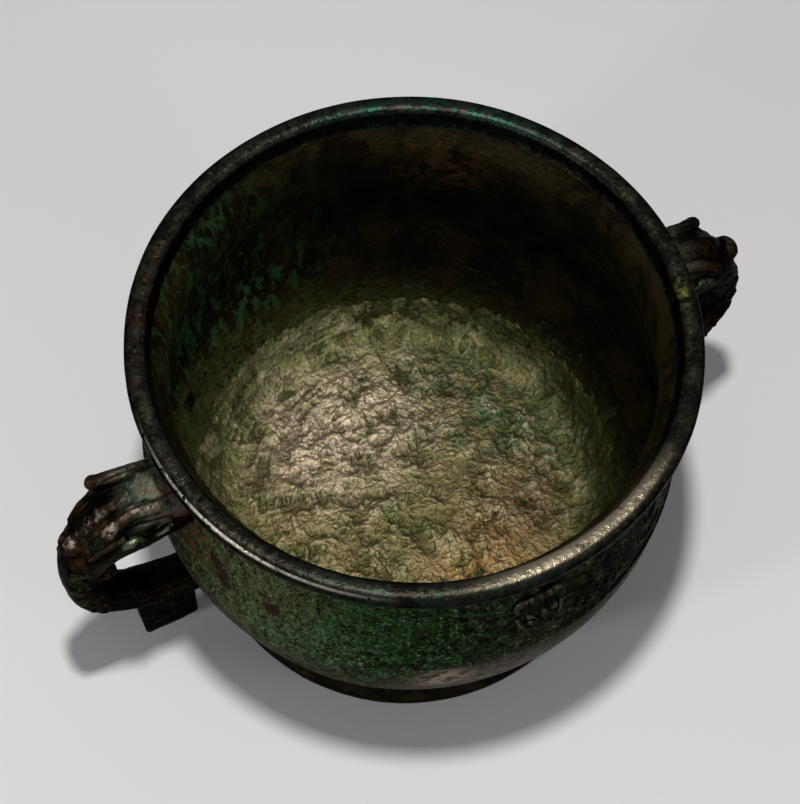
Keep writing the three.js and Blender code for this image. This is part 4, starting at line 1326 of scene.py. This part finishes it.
nose_points = []
for share, sink in NOSE_LINE:
    point, along = outline_at(share)
    nose_points.append((point[0] + along[1] * sink, 0, point[1] - along[0] * sink))
head = [
    ball(BROW_RADII, BROW_MIDDLE, Matrix.Rotation(BROW_LEAN, 3, "Y")),
    rod(nose_points, [SNOUT_RADIUS * share for share in (0.86, 0.96, 1.04, 1.0, 0.9)], around=24),
    ball(NOSE_KNOB_RADII, NOSE_KNOB),
]
for side in (-1, 1):
    head.append(ball(EYEBALL_RADII, on_side(EYEBALL, side)))
    for points, radii in (EYE_SCROLL, EAR, CHEEK_RIDGE):
        head.append(rod([on_side(point, side) for point in points], radii))
    head.append(ball(NOSTRIL_RADII, on_side(NOSTRIL, side)))
curl_turns = np.linspace(0, 2 * math.pi, 28, endpoint=False)
curl_rings = [(-CURL_WIDTH / 2, 0.86), (-CURL_WIDTH / 2 + CURL_BEVEL, 1), (CURL_WIDTH / 2 - CURL_BEVEL, 1),
              (CURL_WIDTH / 2, 0.86)]
head.append(body_of_rings([
    [(CURL_PLACE[0] + CURL_RADIUS * share * math.cos(t), y, CURL_PLACE[2] + CURL_RADIUS * share * math.sin(t))
     for t in curl_turns]
    for y, share in curl_rings
]))


def horns(sink):
    """The two horns, with their tips lowered by sink, and the ridges they lie on"""
    parts = []
    for side, tip_out, lean in ((-1, HORN_SHORT_TIP, HORN_LEAN), (1, HORN_LONG_TIP, 0)):
        line = [(HORN_START + (tip_out - HORN_START) * share, side * (across + lean * share), height - sink * share)
                for share, across, height in HORN_LINE]
        parts.append(rod(line, [HORN_RADIUS * share for share in (0.75, 0.9, 1.0, 1.0, 1.05)]))
        for lower in (0.0022, 0.0044, 0.0062):
            under = [(x - lower * 0.4, y - side * lower * 0.1, z - lower) for x, y, z in line]
            parts.append(rod(under, [HORN_RADIUS * share for share in (0.75, 0.9, 1.0, 1.0, 0.95)]))
        parts.append(ball((HORN_TIP_RADIUS * 1.15, HORN_TIP_RADIUS, HORN_TIP_RADIUS * 0.85), line[-1]))
    return parts


# Lines on the handle's sides: points out from the axis and up, in millimetres, width, and height or depth
SIDE_STROKES = [
    ([(144, 104.5), (138, 103.5), (132, 105.5), (126, 109), (118, 110.5)], 1.5, -0.0009),
    ([(104, 127.4), (112, 128.6), (120, 128.4), (126.5, 125.6)], 1.2, -0.0007),
    ([(131.5, 91), (133, 92.5), (131.5, 94), (129, 92.5), (129.2, 89), (132, 87.3), (135.3, 89)], 1.1, -0.0006),
    ([(143, 100), (139.5, 96), (139, 90), (141.5, 86), (144, 88.5), (142, 91.5)], 1.3, 0.0006),
    ([(143.5, 80), (140, 74), (133, 66), (136, 60), (139.5, 64), (137, 68)], 1.3, 0.0005),
    ([(137, 56), (129, 48.5), (120, 45.5), (106, 45)], 1.5, -0.0006),
]
TOP_STROKES = [
    ([(99, 6.6), (108, 6.6), (116, 6.9), (122, 7.2)], 1.0, -0.0006),
    ([(99, -6.6), (108, -6.6), (116, -6.9), (122, -7.2)], 1.0, -0.0006),
    ([(121, 6.4), (127, 6.8), (133, 7.0), (139, 6.6)], 2.0, -0.0005),
    ([(121, -6.4), (127, -6.8), (133, -7.0), (139, -6.6)], 2.0, -0.0005),
]
LUG_STROKES = [
    ([(102.5, 33), (102, 20), (101.5, 14.5), (110, 14.2), (119, 14.2), (119.5, 22), (120, 33)], 1.0, -0.0006),
    ([(107, 31), (106.5, 24), (110, 19.5), (115, 21), (114.5, 26.5), (110.5, 26)], 1.2, 0.0005),
]

# Middles of the pale green places and of the painted highlights on rubbed bare metal, the same on both handles
PALE_SCROLL = (0.1200, 0.0128, 0.1210)
PALE_EAR = (0.1075, 0.0132, 0.1222)
KNOB_TOP = (0.1394, 0, 0.1188)
SNOUT_BACK = (0.1300, 0, 0.1290)
HORN_TIP = (0.1268, -0.0100, 0.1340)
HORN_CREST = (0.1120, -0.0080, 0.1366)

horn = Finish("handle_bronze")
high = horn.stored("high")
horn_clouds = horn.noise(0.02, 4)
horn_patches = horn.noise(0.008, 4, 0.6, 0.3)
horn_spots = horn.noise(0.003, 4, 0.6)
horn_grains, horn_blisters, horn_pits = fine_crust(horn, 0.8)
any_handle = horn.vector(abs(horn.x), horn.y, horn.z)
any_side = horn.vector(abs(horn.x), abs(horn.y), horn.z)
brow_mask = (horn.z + (horn_patches - 0.5) * 0.010).fade(0.1255, 0.1295) * abs(horn.x).fade(0.124, 0.112)
green_hollows = high.fade(0.5, 0.3) * horn_clouds.fade(0.42, 0.56) * horn_spots.fade(0.4, 0.5)
rub = high.fade(0.62, 0.95) * (horn_spots.fade(0.4, 0.56) * 0.7 + 0.3)
by_scroll = horn.distance(PALE_SCROLL, any_side).fade(0.0056, 0.0036)
by_ear = horn.distance(PALE_EAR, any_side).fade(0.0048, 0.0030)
pale_curls = by_scroll.most(by_ear) * high.fade(0.52, 0.70) * horn_spots.fade(0.36, 0.5)
# Rubbed metal on the knob, horn tips, crest and snout, lightened as painted highlights
by_knob = horn.distance(KNOB_TOP, any_side).fade(0.0046, 0.0016)
by_tip = horn.distance(HORN_TIP, any_handle).fade(0.0038, 0.0010)
by_crest = horn.distance(HORN_CREST, any_handle).fade(0.0075, 0.003) * 0.6
polish_and_highlight = by_knob.most(by_tip).most(by_crest) * high.fade(0.6, 0.9) * horn_spots.fade(0.40, 0.54)
snout_highlight = horn.distance(SNOUT_BACK, any_side).fade(0.0085, 0.003) * high.fade(0.6, 0.9)
horn_tone = horn.coats(
    tone(15, 12, 8),
    (horn_patches.fade(0.42, 0.6), tone(32, 27, 18)),
    (brow_mask * (horn_patches.fade(0.36, 0.54) * 0.6 + 0.25), tone(76, 80, 68)),
    (brow_mask * horn_patches.fade(0.54, 0.64) * 0.6, tone(96, 64, 56)),
    (brow_mask * horn_spots.fade(0.46, 0.36) * 0.6, tone(38, 70, 60)),
    (green_hollows * 0.6, tone(26, 42, 26)),
    (horn_clouds.fade(0.52, 0.62) * horn_spots.fade(0.48, 0.56) * 0.7, tone(42, 60, 40)),
    (horn_patches.fade(0.58, 0.68) * 0.7, tone(56, 33, 21)),
    (rub * 0.5, tone(72, 56, 42)),
    (pale_curls * 0.85, tone(92, 108, 84)),
    # painted highlights on rubbed tips, weaker on the right handle
    (polish_and_highlight * horn.x.fade(0.02, -0.02, 0.3, 1.0) * 0.7, tone(158, 146, 132)),
    # painted granular highlight on the snout
    (snout_highlight * horn_spots.fade(0.50, 0.58) * 0.7, tone(120, 110, 104)),
    # painted shade, near black, in the hollows
    (high.fade(0.42, 0.2) * 0.7, tone(4, 3, 2)),
    # painted shade on the lower arm and the lug, under the head
    (horn.z.fade(0.078, 0.055) * 0.6, tone(20, 13, 8)),
    # painted shade over the right handle
    (horn.x.fade(-0.02, 0.02) * 0.6, tone(11, 10, 7)),
)
horn_height = horn_grains * 0.9 + (horn_spots - 0.5) * 0.6 + horn_blisters * 0.15 - horn_pits * 0.4
handle_bronze = horn.end({
    "Base Color": horn_tone,
    "Roughness": (0.33 + (horn_spots - 0.5) * 0.3 + brow_mask * 0.10 - rub * 0.08).most(0.2),
    "Metallic": 0.95 - brow_mask * 0.25,
    "Specular IOR Level": 0.06,
    "Specular Tint": HANDLE_TINT,
    "Normal": horn.relief(0.0005, horn_height),
})

for name, about, horn_sink in (("handle_right", 0.0, RIGHT_HORN_SINK), ("handle_left", math.pi, 0.0)):
    turn_about = Matrix.Rotation(about, 4, "Z")
    raw = cast_in_one([loop_body(0), lug_body(), *head, *horns(horn_sink)], VOXEL, 7)
    chase(raw, SIDE_STROKES, [0, 2], 1)
    chase(raw, LUG_STROKES, [0, 2], 1)
    chase(raw, TOP_STROKES, [0, 1], 2)
    core_space = loop_body(SKIN)
    for mesh in (raw, core_space):
        mesh.transform(turn_about)
    worn_handle = worn.grow(name, raw, {"Finish": handle_bronze})
    handle_mesh = with_tool(with_tool(worn_handle, "DIFFERENCE", core_space), "DIFFERENCE", wall_body)
    mark_high_spots(handle_mesh)
    handle = show(name + "_casting", handle_mesh, handle_bronze)
    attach(handle, "root")
    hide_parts(name)

# Tenons
# Short stubs cast on the bowl inside the two roots of each handle. The handle's metal shrank onto them, so they
# hold it for good, and none of them shows.
tenon_line = wall_line[4:] + np.array([TENON_LENGTH, 0])
tenon_reach = plain_lathe("tenon_reach", np.vstack([[(0, tenon_line[0, 1])], tenon_line, [(0, tenon_line[-1, 1])]]))
stub = with_tool(loop_body(SKIN + TENON_GAP), "INTERSECT", tenon_reach)
stub = with_tool(stub, "DIFFERENCE", wall_body)
other_stub = stub.copy()
other_stub.transform(Matrix.Rotation(math.pi, 4, "Z"))
tenons = show("tenons", joined([stub, other_stub]), bowl_bronze)
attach(tenons, "root")

# Clay cores
# Fired clay that shaped the hollow of each handle. The founder left it inside, because the handle closed round it
# when it was poured.
clay = Finish("core_clay")
core_clay = clay.end({
    "Base Color": clay.coats(tone(132, 92, 66), (clay.noise(0.004, 4, 0.6).fade(0.4, 0.6), tone(108, 78, 60))),
    "Roughness": 0.95,
    "Normal": clay.relief(0.0006, clay.noise(0.0015, 3, 0.65), 0.8),
})
for name in ("handle_core_right", "handle_core_left"):
    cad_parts[name].data.materials.clear()
    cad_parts[name].data.materials.append(core_clay)

# Masks
# A small animal head in relief on the shoulder between the handles, front and back, cast with the bowl: a domed
# brow, two horns that curl out and down, round eyes and a blunt snout.
MASK_HEIGHT = 0.020
MASK_WIDTH = 0.020
MASK_RELIEF = 0.0040
MASK_MIDDLE = 0.1135
MASK_VOXEL = 0.0004
# Lines on the mask's far side, across and up from its middle; for the jaw also how far out from the wall
MASK_HORN = [(0.0012, 0.0052), (0.0040, 0.0082), (0.0076, 0.0078), (0.0090, 0.0048), (0.0078, 0.0028)]
MASK_JAW = [(0.0092, -0.0012, 0.0002), (0.0080, -0.0058, 0.0006), (0.0040, -0.0084, 0.0008), (0, -0.0090, 0.0008)]
half, high_half = MASK_WIDTH / 2, MASK_HEIGHT / 2


def on_wall(across, up, proud):
    """A point by the wall on the side of +X, across and up from the middle of the mask"""
    height = MASK_MIDDLE + up
    return (math.sqrt(wall_radius(height) ** 2 - across**2) + proud, across, height)


mask_parts = [
    ball((MASK_RELIEF + 0.0006, half * 1.05, high_half * 0.9), on_wall(0, 0.0005, -0.0028)),  # face
    ball((MASK_RELIEF, half * 0.62, high_half * 0.62), on_wall(0, 0.0030, -0.0006)),  # brow
    ball((0.0034, half * 0.6, 0.0030), on_wall(0, -0.0052, 0.0006)),  # snout
    ball((0.0026, 0.0026, 0.0050), on_wall(0, -0.0002, 0.0022)),  # ridge of the nose
]
for side in (-1, 1):
    mask_parts.append(rod([on_wall(side * across, up, 0.0010) for across, up in MASK_HORN],
                          [0.0014, 0.0019, 0.0019, 0.0016, 0.0011]))
    mask_parts.append(ball((0.0019, 0.0021, 0.0018), on_wall(side * 0.0046, 0.0006, 0.0018)))  # eye
    mask_parts.append(ball((0.0014, 0.0017, 0.0013), on_wall(side * 0.0030, -0.0060, 0.0026)))  # nostril
    mask_parts.append(rod([on_wall(side * across, up, proud) for across, up, proud in MASK_JAW],
                          [0.0009, 0.0012, 0.0013, 0.0013]))
mask_raw = cast_in_one(mask_parts, MASK_VOXEL, 4)

face = Finish("mask_bronze")
face_high = face.stored("high")
face_spots = face.noise(0.0028, 5, 0.65, 0.2)
face_tone = face.coats(
    tone(14, 13, 9),
    (face_spots.fade(0.42, 0.58), tone(32, 30, 22)),
    (face_high.fade(0.48, 0.25) * face_spots.fade(0.42, 0.52), tone(26, 44, 29)),
    # painted highlights on the mask's high spots
    (face_high.fade(0.64, 0.96) * 0.65, tone(78, 75, 66)),
)
mask_bronze = face.end({
    "Base Color": face_tone,
    "Roughness": (0.32 + (face_spots - 0.5) * 0.3).most(0.2),
    "Metallic": 0.92,
    "Specular IOR Level": 0.07,
    "Specular Tint": HANDLE_TINT,
    "Normal": face.relief(0.0004, face.noise(0.0016, 2, 0.5) - 0.5),
})
for name, about in (("front_mask", -math.pi / 2), ("back_mask", math.pi / 2)):
    raw = mask_raw.copy()
    raw.transform(Matrix.Rotation(about, 4, "Z"))
    worn_mask = worn.grow(name, raw, {
        "Sway": 0.0003, "Grain": 0.0003, "Fine Grain": 0.0003, "Finish": mask_bronze,
    })
    mask_mesh = with_tool(worn_mask, "DIFFERENCE", wall_body)
    mark_high_spots(mask_mesh)
    mask = show(name + "_casting", mask_mesh, mask_bronze)
    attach(mask, "root")
    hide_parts(name)
